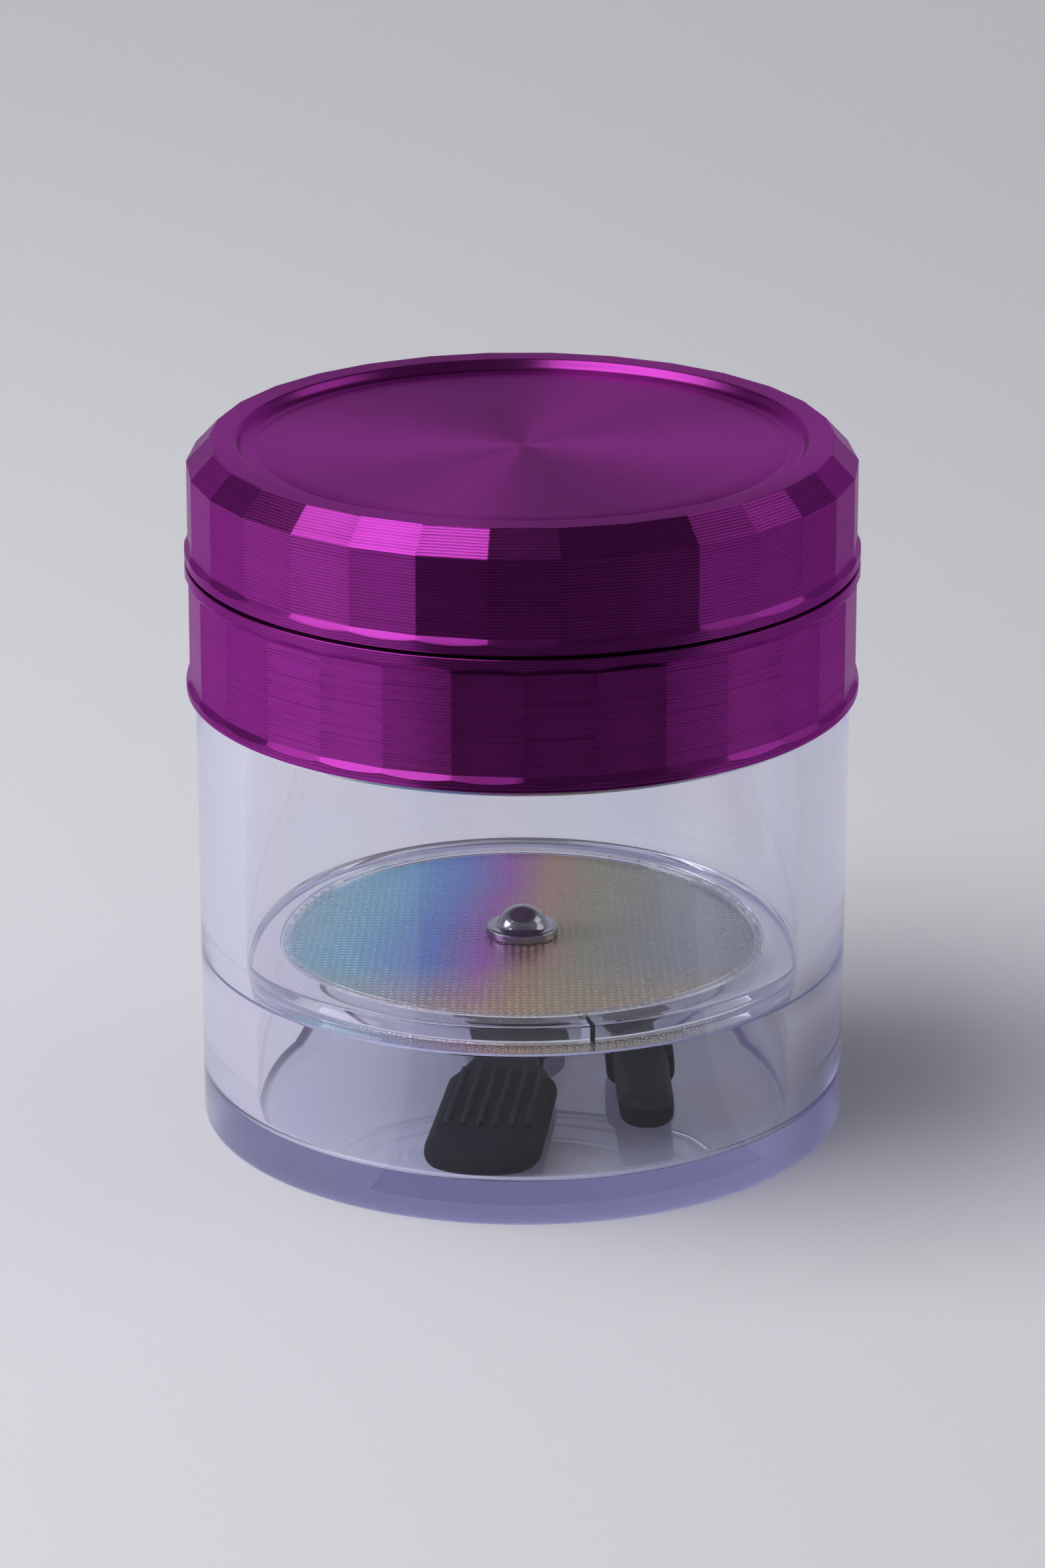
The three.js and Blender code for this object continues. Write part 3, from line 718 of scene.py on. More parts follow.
def tooth_count(radius, teeth):
    return int(2 * math.pi * radius / teeth.spacing)


def tooth(radius, turn, root, tip, teeth):
    """A diamond-shaped tooth whose tip is bevelled, standing up or hanging down."""
    w, h, r = teeth.tooth_width / 2, teeth.tooth_length / 2, 0.15 * MM
    outline = rounded_outline([(-w, 0, r), (0, -h, r), (w, 0, r), (0, h, r)], 2)
    levels = sorted([(root, 0.0), (tip + math.copysign(teeth.tooth_chamfer, root - tip), 0.0)])
    bevelled = (tip, teeth.tooth_chamfer * 0.7)
    levels = levels + [bevelled] if tip > root else [bevelled] + levels
    piece = stacked("tooth", outline, levels)
    place = (radius * math.cos(turn), radius * math.sin(turn), 0)
    return put(piece, place, turn)


def ring_of_teeth(radii, root, tip, teeth):
    """All the teeth of one plate, as one object."""
    made = []
    for radius in radii:
        total = tooth_count(radius, teeth)
        for i in range(total):
            made.append(tooth(radius, (i + 0.5) * 2 * math.pi / total, root, tip, teeth))
    return merged(made, "teeth")


def drop_holes(radii, bottom, top, teeth):
    """The tools that cut the holes, with a countersink at the top."""
    sink = 0.3 * MM
    made = []
    for radius in radii:
        total = tooth_count(radius, teeth)
        for i in range(total):
            turn = i * 2 * math.pi / total
            hole = turned("hole", [
                corner(0, bottom - MM),
                corner(teeth.hole_radius, bottom - MM),
                corner(teeth.hole_radius, top - sink),
                corner(teeth.hole_radius + 2 * sink, top + sink),
                corner(0, top + sink),
            ], columns=32)
            made.append(put(hole, (radius * math.cos(turn), radius * math.sin(turn), 0)))
    return merged(made, "holes")


# ---- Shader expressions ----


class Value:
    """An output of a shader node. Sums on it add Math nodes."""

    def __init__(self, finish, socket):
        self.finish = finish
        self.socket = socket

    def _math(self, operation, *values, clamp=False):
        settings = {"operation": operation, "use_clamp": clamp}
        return self.finish.node("ShaderNodeMath", settings, dict(enumerate(values)))

    def __add__(self, other):
        return self._math("ADD", self, other)

    __radd__ = __add__

    def __sub__(self, other):
        return self._math("SUBTRACT", self, other)

    def __rsub__(self, other):
        return self._math("SUBTRACT", other, self)

    def __mul__(self, other):
        return self._math("MULTIPLY", self, other)

    __rmul__ = __mul__

    def __truediv__(self, other):
        return self._math("DIVIDE", self, other)

    def __rtruediv__(self, other):
        return self._math("DIVIDE", other, self)

    def __pow__(self, other):
        return self._math("POWER", self, other)

    def at_most(self, other):
        return self._math("MINIMUM", self, other)

    def at_least(self, other):
        return self._math("MAXIMUM", self, other)

    def clamped(self):
        return self._math("ADD", self, 0.0, clamp=True)


class Finish:
    """A procedural material under construction."""

    def __init__(self, name):
        self.material = bpy.data.materials.new(name)
        self.material.use_nodes = True
        self.tree = self.material.node_tree
        self.tree.nodes.clear()

    def node(self, kind, settings=None, sockets=None, output=0):
        """Adds a node: its settings first, then the values or links of its sockets."""
        made = self.tree.nodes.new(kind)
        for key, value in (settings or {}).items():
            if key == "stops":
                self._set_stops(made.color_ramp, value)
            else:
                setattr(made, key, value)
        for key, value in (sockets or {}).items():
            if isinstance(value, Value):
                self.tree.links.new(value.socket, made.inputs[key])
            else:
                made.inputs[key].default_value = value
        return Value(self, made.outputs[output]) if made.outputs else None

    @staticmethod
    def _set_stops(ramp, stops):
        while len(ramp.elements) < len(stops):
            ramp.elements.new(0.5)
        for element, (position, value) in zip(ramp.elements, stops):
            element.position = position
            element.color = (*value, 1.0)

    def place(self):
        """Position in metres."""
        return self.node("ShaderNodeTexCoord", output=3)

    def split(self, vector):
        """A vector's x, y and z."""
        first = self.node("ShaderNodeSeparateXYZ", None, {0: vector})
        outputs = first.socket.node.outputs
        return [Value(self, outputs[i]) for i in range(3)]

    def join(self, x, y, z):
        return self.node("ShaderNodeCombineXYZ", None, {0: x, 1: y, 2: z})

    def noise(self, vector, scale, detail=2.0, roughness=0.5):
        """Smooth noise from 0 to 1."""
        sockets = {"Vector": vector, "Scale": scale, "Detail": detail, "Roughness": roughness}
        return self.node("ShaderNodeTexNoise", None, sockets)

    def ramp(self, value, stops):
        return self.node("ShaderNodeValToRGB", {"stops": stops}, {0: value})

    def mix(self, factor, first, second, blend="MIX"):
        """Blends two colours."""
        first, second = opaque(first), opaque(second)
        settings = {"data_type": "RGBA", "blend_type": blend}
        return self.node("ShaderNodeMix", settings, {0: factor, 6: first, 7: second}, output=2)

    def bump(self, height, strength, distance):
        sockets = {"Height": height, "Strength": strength, "Distance": distance}
        return self.node("ShaderNodeBump", None, sockets)

    def surface(self, **sockets):
        """A Principled surface: underscores in the names stand for spaces."""
        named = {key.replace("_", " "): value for key, value in sockets.items()}
        return self.node("ShaderNodeBsdfPrincipled", None, named)

    def done(self, surface, volume=None):
        sockets = {"Surface": surface}
        if volume:
            sockets["Volume"] = volume
        self.node("ShaderNodeOutputMaterial", None, sockets)
        return self.material


def opaque(value):
    """A plain colour with its alpha, or a link as it is."""
    return value if isinstance(value, Value) else (*value[:3], 1.0)


def turned_place(finish):
    """Distance from the axis and height: noise on it runs round the axis, as turned lines do."""
    x, y, z = finish.split(finish.place())
    radius = (x * x + y * y) ** 0.5
    return radius, z


def anodised_aluminium(settings):
    """Dyed, turned aluminium: a coloured metal under a thin clear oxide, with shade painted into the cutter's
    lines.
    """
    finish = Finish("Anodised aluminium")
    radius, z = turned_place(finish)
    lines = finish.noise(finish.join(radius, z, 0.0), 5200.0, 3.0, 0.6)
    cloud = finish.noise(finish.place(), 90.0, 2.0)
    specks = finish.noise(finish.place(), 2600.0, 1.0)
    base = tuple(settings.anodised)
    deep = tuple(0.9 * c for c in base)
    blush = (base[0] * 1.1, base[1] * 1.5, base[2] * 0.98)
    shade = finish.mix((lines * 1.6 - 0.3).clamped(), deep, base)
    shade = finish.mix((cloud * 1.4 - 0.45).clamped(), shade, blush)
    # Painted shade: the colour darkens towards the bottom of each cutter's line, by how deep the point lies
    # in it.
    cut = finish.node("ShaderNodeAttribute", {"attribute_name": "cut"}, output=2)
    shade = finish.mix((cut * cut * 0.7).at_most(0.8), shade, tuple(0.2 * c for c in base))
    rough = settings.anodised_roughness + (lines - 0.5) * 0.08 + (cloud - 0.5) * 0.06 + (specks - 0.5) * 0.05
    return finish.done(finish.surface(
        Base_Color=shade,
        Metallic=1.0,
        Roughness=rough,
        Specular_Tint=(0.85, 0.45, 0.82, 1.0),
        Anisotropic=0.85,
        Anisotropic_Rotation=0.25,
        Coat_Weight=0.1,
        Coat_Roughness=0.25,
        Coat_IOR=1.55,
    ))


def clear_plastic(settings, name="Clear plastic", tints=1.0):
    """Thick moulded clear plastic, with faint stress tints, handling scratches and a slight waviness."""
    finish = Finish(name)
    place = finish.place()
    x, y, z = finish.split(place)
    swirl = finish.noise(finish.join(x, y, z * 0.35), 38.0, 1.0)
    stress = finish.ramp(swirl, [
        (0.3, (0.95, 0.98, 1.0)),
        (0.42, (0.99, 0.96, 1.0)),
        (0.5, (1.0, 0.98, 0.95)),
        (0.58, (0.97, 1.0, 0.98)),
        (0.7, (0.95, 0.97, 1.0)),
    ])
    tint = finish.mix(0.55 * tints, tuple(settings.clear), stress, "MULTIPLY")
    wave = finish.noise(place, 26.0, 1.0)
    scuff = finish.noise(finish.join(x * 0.3, y * 0.3, z), 900.0, 3.0, 0.65)
    haze = ((scuff - 0.62) * 4.0).clamped()
    frost_top, frost_gain = 0.0002, 10000.0
    frost = ((frost_top - z) * frost_gain).clamped()
    rough = 0.018 + haze * 0.1 + frost * 0.2
    normal = finish.bump(wave + scuff * 0.001, 0.35, 0.0006)
    glass = finish.surface(
        Base_Color=tint,
        Roughness=rough,
        IOR=1.49,
        Transmission_Weight=1.0,
        Normal=normal,
    )
    clear = finish.node("ShaderNodeBsdfTransparent", None, {"Color": (*settings.clear, 1.0)})
    path = finish.node("ShaderNodeLightPath", output=1)
    diffuse = Value(finish, path.socket.node.outputs[2])
    through = path.at_least(diffuse)
    surface = finish.node("ShaderNodeMixShader", None, {0: through, 1: glass, 2: clear})
    tinted = (*settings.absorption, 1.0)
    volume = finish.node("ShaderNodeVolumeAbsorption", None, {"Color": tinted, "Density": 13.0})
    return finish.done(surface, volume)


def pale_silicone(settings):
    """Soft grey seal with a fine matt grain."""
    finish = Finish("Pale silicone")
    grain = finish.noise(finish.place(), 4200.0, 2.0)
    cloud = finish.noise(finish.place(), 160.0, 2.0)
    base = tuple(settings.silicone)
    shade = finish.mix(cloud, tuple(0.85 * c for c in base), tuple(min(1.0, 1.12 * c) for c in base))
    return finish.done(finish.surface(
        Base_Color=shade,
        Roughness=0.48 + (grain - 0.5) * 0.2,
        Subsurface_Weight=0.15,
        Subsurface_Scale=0.001,
        Normal=finish.bump(grain, 0.3, 0.00003),
    ))


def glide_polymer(settings):
    """Black slippery polymer with turned lines and a little wear."""
    finish = Finish("Glide polymer")
    radius, z = turned_place(finish)
    lines = finish.noise(finish.join(radius, z, 0.0), 4000.0, 2.0)
    wear = finish.noise(finish.place(), 400.0, 3.0)
    base = tuple(settings.polymer)
    shade = finish.mix((wear * 2.0 - 0.8).clamped(), base, tuple(2.6 * c for c in base))
    return finish.done(finish.surface(
        Base_Color=shade,
        Roughness=0.42 + (lines - 0.5) * 0.25,
        Normal=finish.bump(lines, 0.25, 0.00002),
    ))


def bright_nickel(settings):
    """Plated steel with turned lines, dull spots and fine scratches."""
    finish = Finish("Bright nickel")
    radius, z = turned_place(finish)
    lines = finish.noise(finish.join(radius, z, 0.0), 3600.0, 2.0)
    stain = finish.noise(finish.place(), 700.0, 3.0)
    scratch = finish.noise(finish.join(radius * 6.0, z, 0.0), 2200.0, 1.0)
    base = tuple(settings.nickel)
    dull = tuple(0.7 * c for c in base)
    shade = finish.mix((stain * 1.8 - 0.5).clamped(), dull, base)
    return finish.done(finish.surface(
        Base_Color=shade,
        Metallic=1.0,
        Roughness=0.16 + (stain - 0.5) * 0.16 + (lines - 0.5) * 0.1,
        Normal=finish.bump(lines + scratch * 0.3, 0.15, 0.00002),
    ))


def woven_steel():
    """Steel wire with the weave's diffraction painted on: blue through violet to bronze and grey across the
    screen.
    """
    finish = Finish("Woven steel")
    place = finish.place()
    x, y, _ = finish.split(place)
    reach = outer("screen_mesh")
    # Painted reflection: the rainbow of the weave's diffraction, laid across the screen by position.
    drift = (finish.noise(place, 60.0, 2.0) - 0.5) * 0.1
    across = ((x - y * 0.12) / (2 * reach) + 0.5 + drift).clamped()
    sweep = finish.ramp(across, [
        (0.0, (0.55, 0.8, 0.9)),
        (0.18, (0.36, 0.78, 0.97)),
        (0.32, (0.32, 0.48, 0.95)),
        (0.43, (0.62, 0.26, 0.72)),
        (0.52, (0.74, 0.5, 0.38)),
        (0.64, (0.6, 0.58, 0.42)),
        (0.85, (0.58, 0.6, 0.62)),
        (1.0, (0.55, 0.56, 0.62)),
    ])
    # Painted sheen: the weave is lighter and warmer towards the front.
    front = ((0.0 - y) / reach - 0.35).clamped() * 1.4
    shade = finish.mix(front.at_most(0.8), sweep, (0.85, 0.7, 0.42))
    grain = finish.noise(place, 5000.0, 2.0)
    return finish.done(finish.surface(
        Base_Color=shade,
        Metallic=0.85,
        Roughness=0.34 + (grain - 0.5) * 0.2,
        Normal=finish.bump(grain, 0.2, 0.00001),
    ))


def tool_plastic(settings):
    """Black moulded plastic with a fine spark-eroded grain, rubbed patches and a painted highlight along the
    rib tops.
    """
    finish = Finish("Tool plastic")
    place = finish.place()
    peel = finish.noise(place, 2400.0, 3.0, 0.6)
    rub = finish.noise(place, 180.0, 3.0)
    dust = ((finish.noise(place, 1500.0, 2.0) - 0.7) * 8.0).clamped()
    _, _, z = finish.split(place)
    # Painted highlight: the colour is lighter in the top quarter millimetre of the scraper, along the rib
    # tops.
    crest_gain, crest_shift = 6000.0, 1.6
    crest = ((z - high("scraper")) * crest_gain + crest_shift).clamped()
    base = tuple(settings.tool)
    shade = finish.mix((rub * 1.6 - 0.5).clamped(), base, tuple(1.9 * c for c in base))
    shade = finish.mix(crest * 0.8, shade, tuple(5.0 * c for c in base))
    shade = finish.mix(dust * 0.2, shade, (0.3, 0.3, 0.33))
    return finish.done(finish.surface(
        Base_Color=shade,
        Roughness=0.5 + (peel - 0.5) * 0.2 + (rub - 0.5) * 0.15,
        Specular_IOR_Level=0.045,
        Normal=finish.bump(peel, 0.3, 0.00002),
    ))


def brush_fibre(settings):
    """Black nylon bristles that are paler towards their tips."""
    finish = Finish("Brush fibre")
    x, y, z = finish.split(finish.place())
    root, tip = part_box("brush_bristles")[0].y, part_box("brush_bristles")[1].y
    streak = finish.noise(finish.join(x, y * 0.05, z), 6000.0, 1.0)
    along = ((y - root) / (tip - root)).clamped()
    base = tuple(settings.fibre)
    shade = finish.mix(along * 0.6 + streak * 0.4, base, tuple(3.0 * c for c in base))
    return finish.done(finish.surface(Base_Color=shade, Roughness=0.5 + (streak - 0.5) * 0.3))


def backdrop_paper(settings):
    """Plain pale paper for the floor and the sweep."""
    finish = Finish("Backdrop paper")
    tooth_grain = finish.noise(finish.place(), 900.0, 3.0)
    base = tuple(settings.backdrop)
    shade = finish.mix(tooth_grain, tuple(0.985 * c for c in base), base)
    return finish.done(finish.surface(Base_Color=shade, Roughness=0.9, Specular_IOR_Level=0.1))


_materials = {}


def shared(build, *arguments):
    """A material that several pieces use, made once."""
    key = build.__name__
    if key not in _materials:
        _materials[key] = build(*arguments)
    return _materials[key]


# ---- Stage ----


def softbox(name, centre, target, size, radiance, tint=(1.0, 1.0, 1.0)):
    """A soft rectangular lamp that lights the object and shows in its reflections."""
    lamp = bpy.data.lights.new(name, "AREA")
    lamp.shape = "RECTANGLE"
    lamp.size, lamp.size_y = size
    lamp.energy = radiance * math.pi * size[0] * size[1] * bpy.context.scene.grinder_stage.brightness
    lamp.color = tint
    holder = bpy.data.objects.new(name, lamp)
    holder.location = centre
    holder.rotation_euler = (Vector(target) - Vector(centre)).to_track_quat("-Z", "Y").to_euler()
    holder.visible_camera = False
    bpy.context.scene.collection.objects.link(holder)


def make_sweep(settings):
    """A round floor whose edge curves up to a wall, so that it is plain from every side."""
    reach, bend, wall, drop = 1.6, 0.5, 0.95, 0.00005
    points = [(0.0, -drop), (0.2, -drop), (0.5, -drop), (reach - bend, -drop)]
    for step in range(1, 13):
        a = math.pi / 2 * step / 12
        points.append((reach - bend + bend * math.sin(a), bend - bend * math.cos(a) - drop))
    points.append((reach, wall))
    columns = 96
    vertices, faces = [], []
    for radius, height in points:
        for i in range(columns):
            a = 2 * math.pi * i / columns
            vertices.append((radius * math.sin(a), -radius * math.cos(a), height))
    for row in range(len(points) - 1):
        for i in range(columns):
            j = (i + 1) % columns
            here, above = row * columns, (row + 1) * columns
            quad = [here + i, above + i, above + j, here + j]
            faces.append([here, above + i, above + j] if row == 0 else quad)
    floor = new_piece("sweep", vertices, faces)
    floor.data.materials.append(backdrop_paper(settings))


def make_flag(settings):
    """A black card on the floor and up round the front. Only reflections see it: it keeps the front dark."""
    foot, reach, height, start, end = 0.034, 0.1, 0.17, math.radians(-31), math.radians(54)
    columns = 24
    vertices = []
    for i in range(columns + 1):
        a = start + (end - start) * i / columns
        above_floor = 0.0004
        profile = ((foot, above_floor), (reach, above_floor), (reach, height))
        vertices += [(radius * math.sin(a), -radius * math.cos(a), z) for radius, z in profile]
    faces = [[3 * i + k, 3 * i + k + 3, 3 * i + k + 4, 3 * i + k + 1] for i in range(columns) for k in (0, 1)]
    flag = new_piece("black_flag", vertices, faces)
    finish = Finish("Black flag")
    _, _, z = finish.split(finish.place())
    weave = finish.noise(finish.place(), 800.0, 2.0)
    dark = finish.mix(weave, (0.012, 0.012, 0.012), (0.018, 0.018, 0.018))
    # Painted reflection: the upright part is lighter at its foot than higher up, so the chamber's facets
    # reflect lighter than the lid's.
    upright = finish.mix(((z - 0.018) * 40.0).clamped(), (0.4, 0.4, 0.42), (0.13, 0.13, 0.14))
    base = finish.mix((z * 500.0 - 1.0).clamped(), dark, upright)
    paint = finish.surface(Base_Color=base, Roughness=1.0, Specular_IOR_Level=0.0)
    flag.data.materials.append(finish.done(paint))
    flag.visible_camera = False
    flag.visible_diffuse = False
    flag.visible_transmission = False
    flag.visible_volume_scatter = False
    flag.visible_shadow = False


class GRINDER_OT_stage(bpy.types.Operator):
    """Make the camera, the lamps and the pale floor"""

    bl_idname = "grinder.stage"
    bl_label = "Stage"

    def execute(self, context):
        scene = context.scene
        settings = scene.grinder_stage
        low_corner, high_corner = cad_bounds
        aim = (low_corner + high_corner) / 2 - Vector((0, 0, settings.aim_drop))
        back = Vector((0, -math.cos(settings.elevation), math.sin(settings.elevation)))
        camera = bpy.data.cameras.new("camera")
        camera.lens = settings.lens
        camera.clip_start = 0.01
        holder = bpy.data.objects.new("camera", camera)
        holder.location = aim + back * settings.distance
        holder.rotation_euler = (-back).to_track_quat("-Z", "Y").to_euler()
        scene.collection.objects.link(holder)
        scene.camera = holder
        scene.view_settings.view_transform = "Standard"
        world = bpy.data.worlds.new("studio")
        world.use_nodes = True
        background = world.node_tree.nodes["Background"]
        background.inputs["Color"].default_value = (0.8, 0.8, 0.86, 1.0)
        background.inputs["Strength"].default_value = 0.13
        scene.world = world
        scene.cycles.max_bounces = 24
        scene.cycles.glossy_bounces = 16
        scene.cycles.transmission_bounces = 20
        scene.cycles.transparent_max_bounces = 24
        make_sweep(scene.grinder_finish)
        make_flag(scene.grinder_finish)
        softbox("overhead left", (-0.407, -0.13, 0.62), (-0.407, -0.131, 0), (0.667, 0.6), 3.4)
        softbox("right", (0.85, 0.1, 0.55), (0, 0, 0.05), (0.6, 0.6), 0.85)
        softbox("low left", (-0.8, -0.12, 0.27), (0, 0, 0.03), (0.45, 0.22), 3.0)
        softbox("backdrop", (0, 0.75, 0.9), (0, 1.5, 0.3), (1.2, 0.4), 2.5)
        return {"FINISHED"}


# ---- Pieces ----


class GRINDER_OT_jar(bpy.types.Operator):
    """Make the thick-walled clear jar with its threaded neck"""

    bl_idname = "grinder.jar"
    bl_label = "Jar"

    def execute(self, context):
        sizes = context.scene.grinder_jar
        top_radius = outer("jar")
        shoulder, rim = low("jar_seal"), high("jar")
        seat = low("screen_carrier") - sizes.rest_gap
        floor = sizes.floor - sizes.rest_gap
        bore = top_radius - sizes.wall
        neck = neck_radius(sizes)
        catch = bore - sizes.ledge
        corners = [
            corner(0, 0),
            corner(top_radius - sizes.draft, 0, sizes.foot_round, 6),
            corner(top_radius, shoulder, 0.25 * MM, 12),
            corner(neck, shoulder, 0.3 * MM),
            corner(neck, rim, 0.35 * MM, 86, THREAD),
            corner(bore, rim, 0.3 * MM),
            corner(bore, seat, 0.3 * MM, 12),
            corner(catch, seat, 0.3 * MM),
            corner(catch, floor, 1.2 * MM, 6),
            corner(0, floor, 0, 6),
        ]
        points, kinds, creases = trace(corners, False, 8)
        azimuth = np.linspace(0, 2 * math.pi, 240, endpoint=False)[None, :]
        radius = np.repeat(points[:, :1], azimuth.size, axis=1)
        height = np.repeat(points[:, 1:], azimuth.size, axis=1)
        start = seal_top() + sizes.thread_root
        ridge = thread_bulge(azimuth, height, start, sizes) * sizes.thread_depth
        radius += np.where((kinds == THREAD)[:, None], ridge, 0)
        jar = turned_grid("clear_jar", radius, height, azimuth, False, creases)
        finish = shared(clear_plastic, context.scene.grinder_finish)
        fit(jar, finish, "jar", "clear_plastic", "jar")
        return {"FINISHED"}


class GRINDER_OT_seals(bpy.types.Operator):
    """Make the jar's seal and the ring that the lid glides on"""

    bl_idname = "grinder.seals"
    bl_label = "Seal and glide ring"

    def execute(self, context):
        metal, jar = context.scene.grinder_metal, context.scene.grinder_jar
        finishes = context.scene.grinder_finish
        seal = ring("silicone_seal", socket_radius(jar), outer("jar_seal"), low("jar_seal"), high("jar_seal"),
                    0.18 * MM)
        fit(seal, shared(pale_silicone, finishes), "jar_seal", "silicone", "jar_seal")
        spigot = outer("lid") - metal.facet_inset - metal.skirt_wall - metal.spigot_clearance
        glide = ring("black_glide_ring", spigot + metal.pocket_clearance, outer("glide_ring"),
                     low("glide_ring"), high("glide_ring"), 0.15 * MM)
        fit(glide, shared(glide_polymer, finishes), "glide", "glide_polymer", "glide_ring")
        return {"FINISHED"}


class GRINDER_OT_chamber(bpy.types.Operator):
    """Make the faceted grinding chamber with its spigot and threaded socket"""

    bl_idname = "grinder.chamber"
    bl_label = "Grinding chamber"

    def execute(self, context):
        sizes = context.scene.grinder_metal
        section = ChamberSection(sizes, context.scene.grinder_jar)
        chamber = faceted("faceted_chamber", section, sizes.chamber_phase, sizes, 0.9, 11)
        finish = shared(anodised_aluminium, context.scene.grinder_finish)
        fit(chamber, finish, "chamber", "anodised_purple", "grinding_chamber")
        return {"FINISHED"}


class GRINDER_OT_lid(bpy.types.Operator):
    """Make the faceted lid with its dished top"""

    bl_idname = "grinder.lid"
    bl_label = "Lid"

    def execute(self, context):
        sizes = context.scene.grinder_metal
        lid = faceted("faceted_lid", LidSection(sizes), sizes.lid_phase, sizes, 0.25, 7)
        finish = shared(anodised_aluminium, context.scene.grinder_finish)
        fit(lid, finish, "lid", "anodised_purple", "lid")
        return {"FINISHED"}


class GRINDER_OT_tooth_plates(bpy.types.Operator):
    """Make the two plates that carry the grinding teeth"""

    bl_idname = "grinder.tooth_plates"
    bl_label = "Tooth plates"

    def execute(self, context):
        metal, teeth = context.scene.grinder_metal, context.scene.grinder_teeth
        finish = shared(anodised_aluminium, context.scene.grinder_finish)
        rings = tooth_rings(metal, teeth)
        pocket = outer("chamber_magnet") + teeth.magnet_clearance
        seat = low("chamber_tooth_plate")
        top = seat + teeth.plate_thickness
        lower = turned("chamber_teeth", [
            corner(0, seat),
            corner(outer("chamber_tooth_plate"), seat, 0.1 * MM, 2),
            corner(outer("chamber_tooth_plate"), top, 0.15 * MM),
            corner(teeth.boss_radius, top, 0.3 * MM, 2),
            corner(teeth.boss_radius, high("chamber_magnet"), 0.3 * MM),
            corner(pocket, high("chamber_magnet"), 0.1 * MM),
            corner(pocket, low("chamber_magnet")),
            corner(0, low("chamber_magnet")),
        ], columns=144)
        tips = ring_of_teeth(rings[0::2], top - 0.5 * MM, high("chamber_tooth_plate"), teeth)
        combined(lower, tips, "UNION")
        combined(lower, drop_holes(rings[1::2], seat, top, teeth), "DIFFERENCE")
        fit(crease(lower), finish, "chamber", "anodised_purple", "chamber_tooth_plate")
        ceiling = high("lid_tooth_plate")
        under = ceiling - teeth.plate_thickness
        upper = turned("lid_teeth", [
            corner(0, high("lid_magnet")),
            corner(pocket, high("lid_magnet")),
            corner(pocket, low("lid_magnet"), 0.1 * MM),
            corner(teeth.boss_radius, low("lid_magnet"), 0.3 * MM),
            corner(teeth.boss_radius, under, 0.3 * MM),
            corner(outer("lid_tooth_plate"), under, 0.15 * MM, 2),
            corner(outer("lid_tooth_plate"), ceiling, 0.1 * MM),
            corner(0, ceiling, 0, 2),
        ], columns=144)
        tips = ring_of_teeth(rings[1::2], under + 0.5 * MM, low("lid_tooth_plate"), teeth)
        combined(upper, tips, "UNION")
        fit(crease(upper), finish, "lid", "anodised_purple", "lid_tooth_plate")
        return {"FINISHED"}


class GRINDER_OT_magnets(bpy.types.Operator):
    """Make the two magnets that hold the lid on"""

    bl_idname = "grinder.magnets"
    bl_label = "Magnets"

    def execute(self, context):
        finish = shared(bright_nickel, context.scene.grinder_finish)
        for name, node, body in (
            ("plated_magnet_lower", "chamber_magnet", "chamber"),
            ("plated_magnet_upper", "lid_magnet", "lid"),
        ):
            bevel = 0.25 * MM
            magnet = turned(name, [
                corner(0, low(node)),
                corner(outer(node), low(node), bevel),
                corner(outer(node), high(node), bevel),
                corner(0, high(node)),
            ], columns=64)
            fit(magnet, finish, body, "nickel", node)
        return {"FINISHED"}


class GRINDER_OT_screen_rings(bpy.types.Operator):
    """Make the split clear ring that carries the mesh and the ring that clamps it"""

    bl_idname = "grinder.screen_rings"
    bl_label = "Screen rings"

    def execute(self, context):
        sizes = context.scene.grinder_screen
        outside, bottom, top = outer("screen_carrier"), low("screen_carrier"), high("screen_carrier")
        lip = outside - sizes.lip_width
        inside = outside - sizes.carrier_width
        points, _, _ = trace([
            corner(inside, bottom, 0.3 * MM),
            corner(outside, bottom, 0.25 * MM),
            corner(outside, top, 0.2 * MM),
            corner(lip, top, 0.2 * MM),
            corner(lip, low("screen_mesh")),
            corner(inside, low("screen_mesh"), 0.15 * MM),
        ], True)
        gap = sizes.split_width / 2 / lip
        azimuths = np.linspace(sizes.split_azimuth + gap, sizes.split_azimuth + 2 * math.pi - gap, 200)
        vertices, faces = [], []
        for a in azimuths:
            vertices.extend((r * math.sin(a), -r * math.cos(a), z) for r, z in points)
        total = len(points)
        for column in range(len(azimuths) - 1):
            for i in range(total):
                j = (i + 1) % total
                here, there = column * total, (column + 1) * total
                faces.append([here + i, there + i, there + j, here + j])
        faces.append(list(range(total)))
        faces.append([(len(azimuths) - 1) * total + i for i in range(total - 1, -1, -1)])
        carrier = crease(new_piece("clear_carrier", vertices, faces), 40)
        finish = shared(clear_plastic, context.scene.grinder_finish)
        fit(carrier, finish, "screen", "clear_plastic", "screen_carrier")
        clamp_outer = outer("screen_clamp_ring")
        clamp = ring("clear_clamp_ring", clamp_outer - sizes.clamp_width, clamp_outer,
                     low("screen_clamp_ring"), high("screen_clamp_ring"), 0.1 * MM)
        fit(clamp, finish, "screen", "clear_plastic", "screen_clamp_ring")
        return {"FINISHED"}


def wire(points, width, thickness, across):
    """Vertices and faces of one flattened wire through points; across is its sideways direction."""
    vertices, faces = [], []
    for x, y, z in points:
        for side, lift in ((-1, -1), (1, -1), (1, 1), (-1, 1)):
            shift = side * width / 2
            vertices.append((x + across[0] * shift, y + across[1] * shift, z + lift * thickness / 2))
    for i in range(len(points) - 1):
        for k in range(4):
            a, b = 4 * i + k, 4 * i + (k + 1) % 4
            faces.append([a, b, b + 4, a + 4])
    last = 4 * (len(points) - 1)
    faces.append([3, 2, 1, 0])
    faces.append([last, last + 1, last + 2, last + 3])
    return vertices, faces


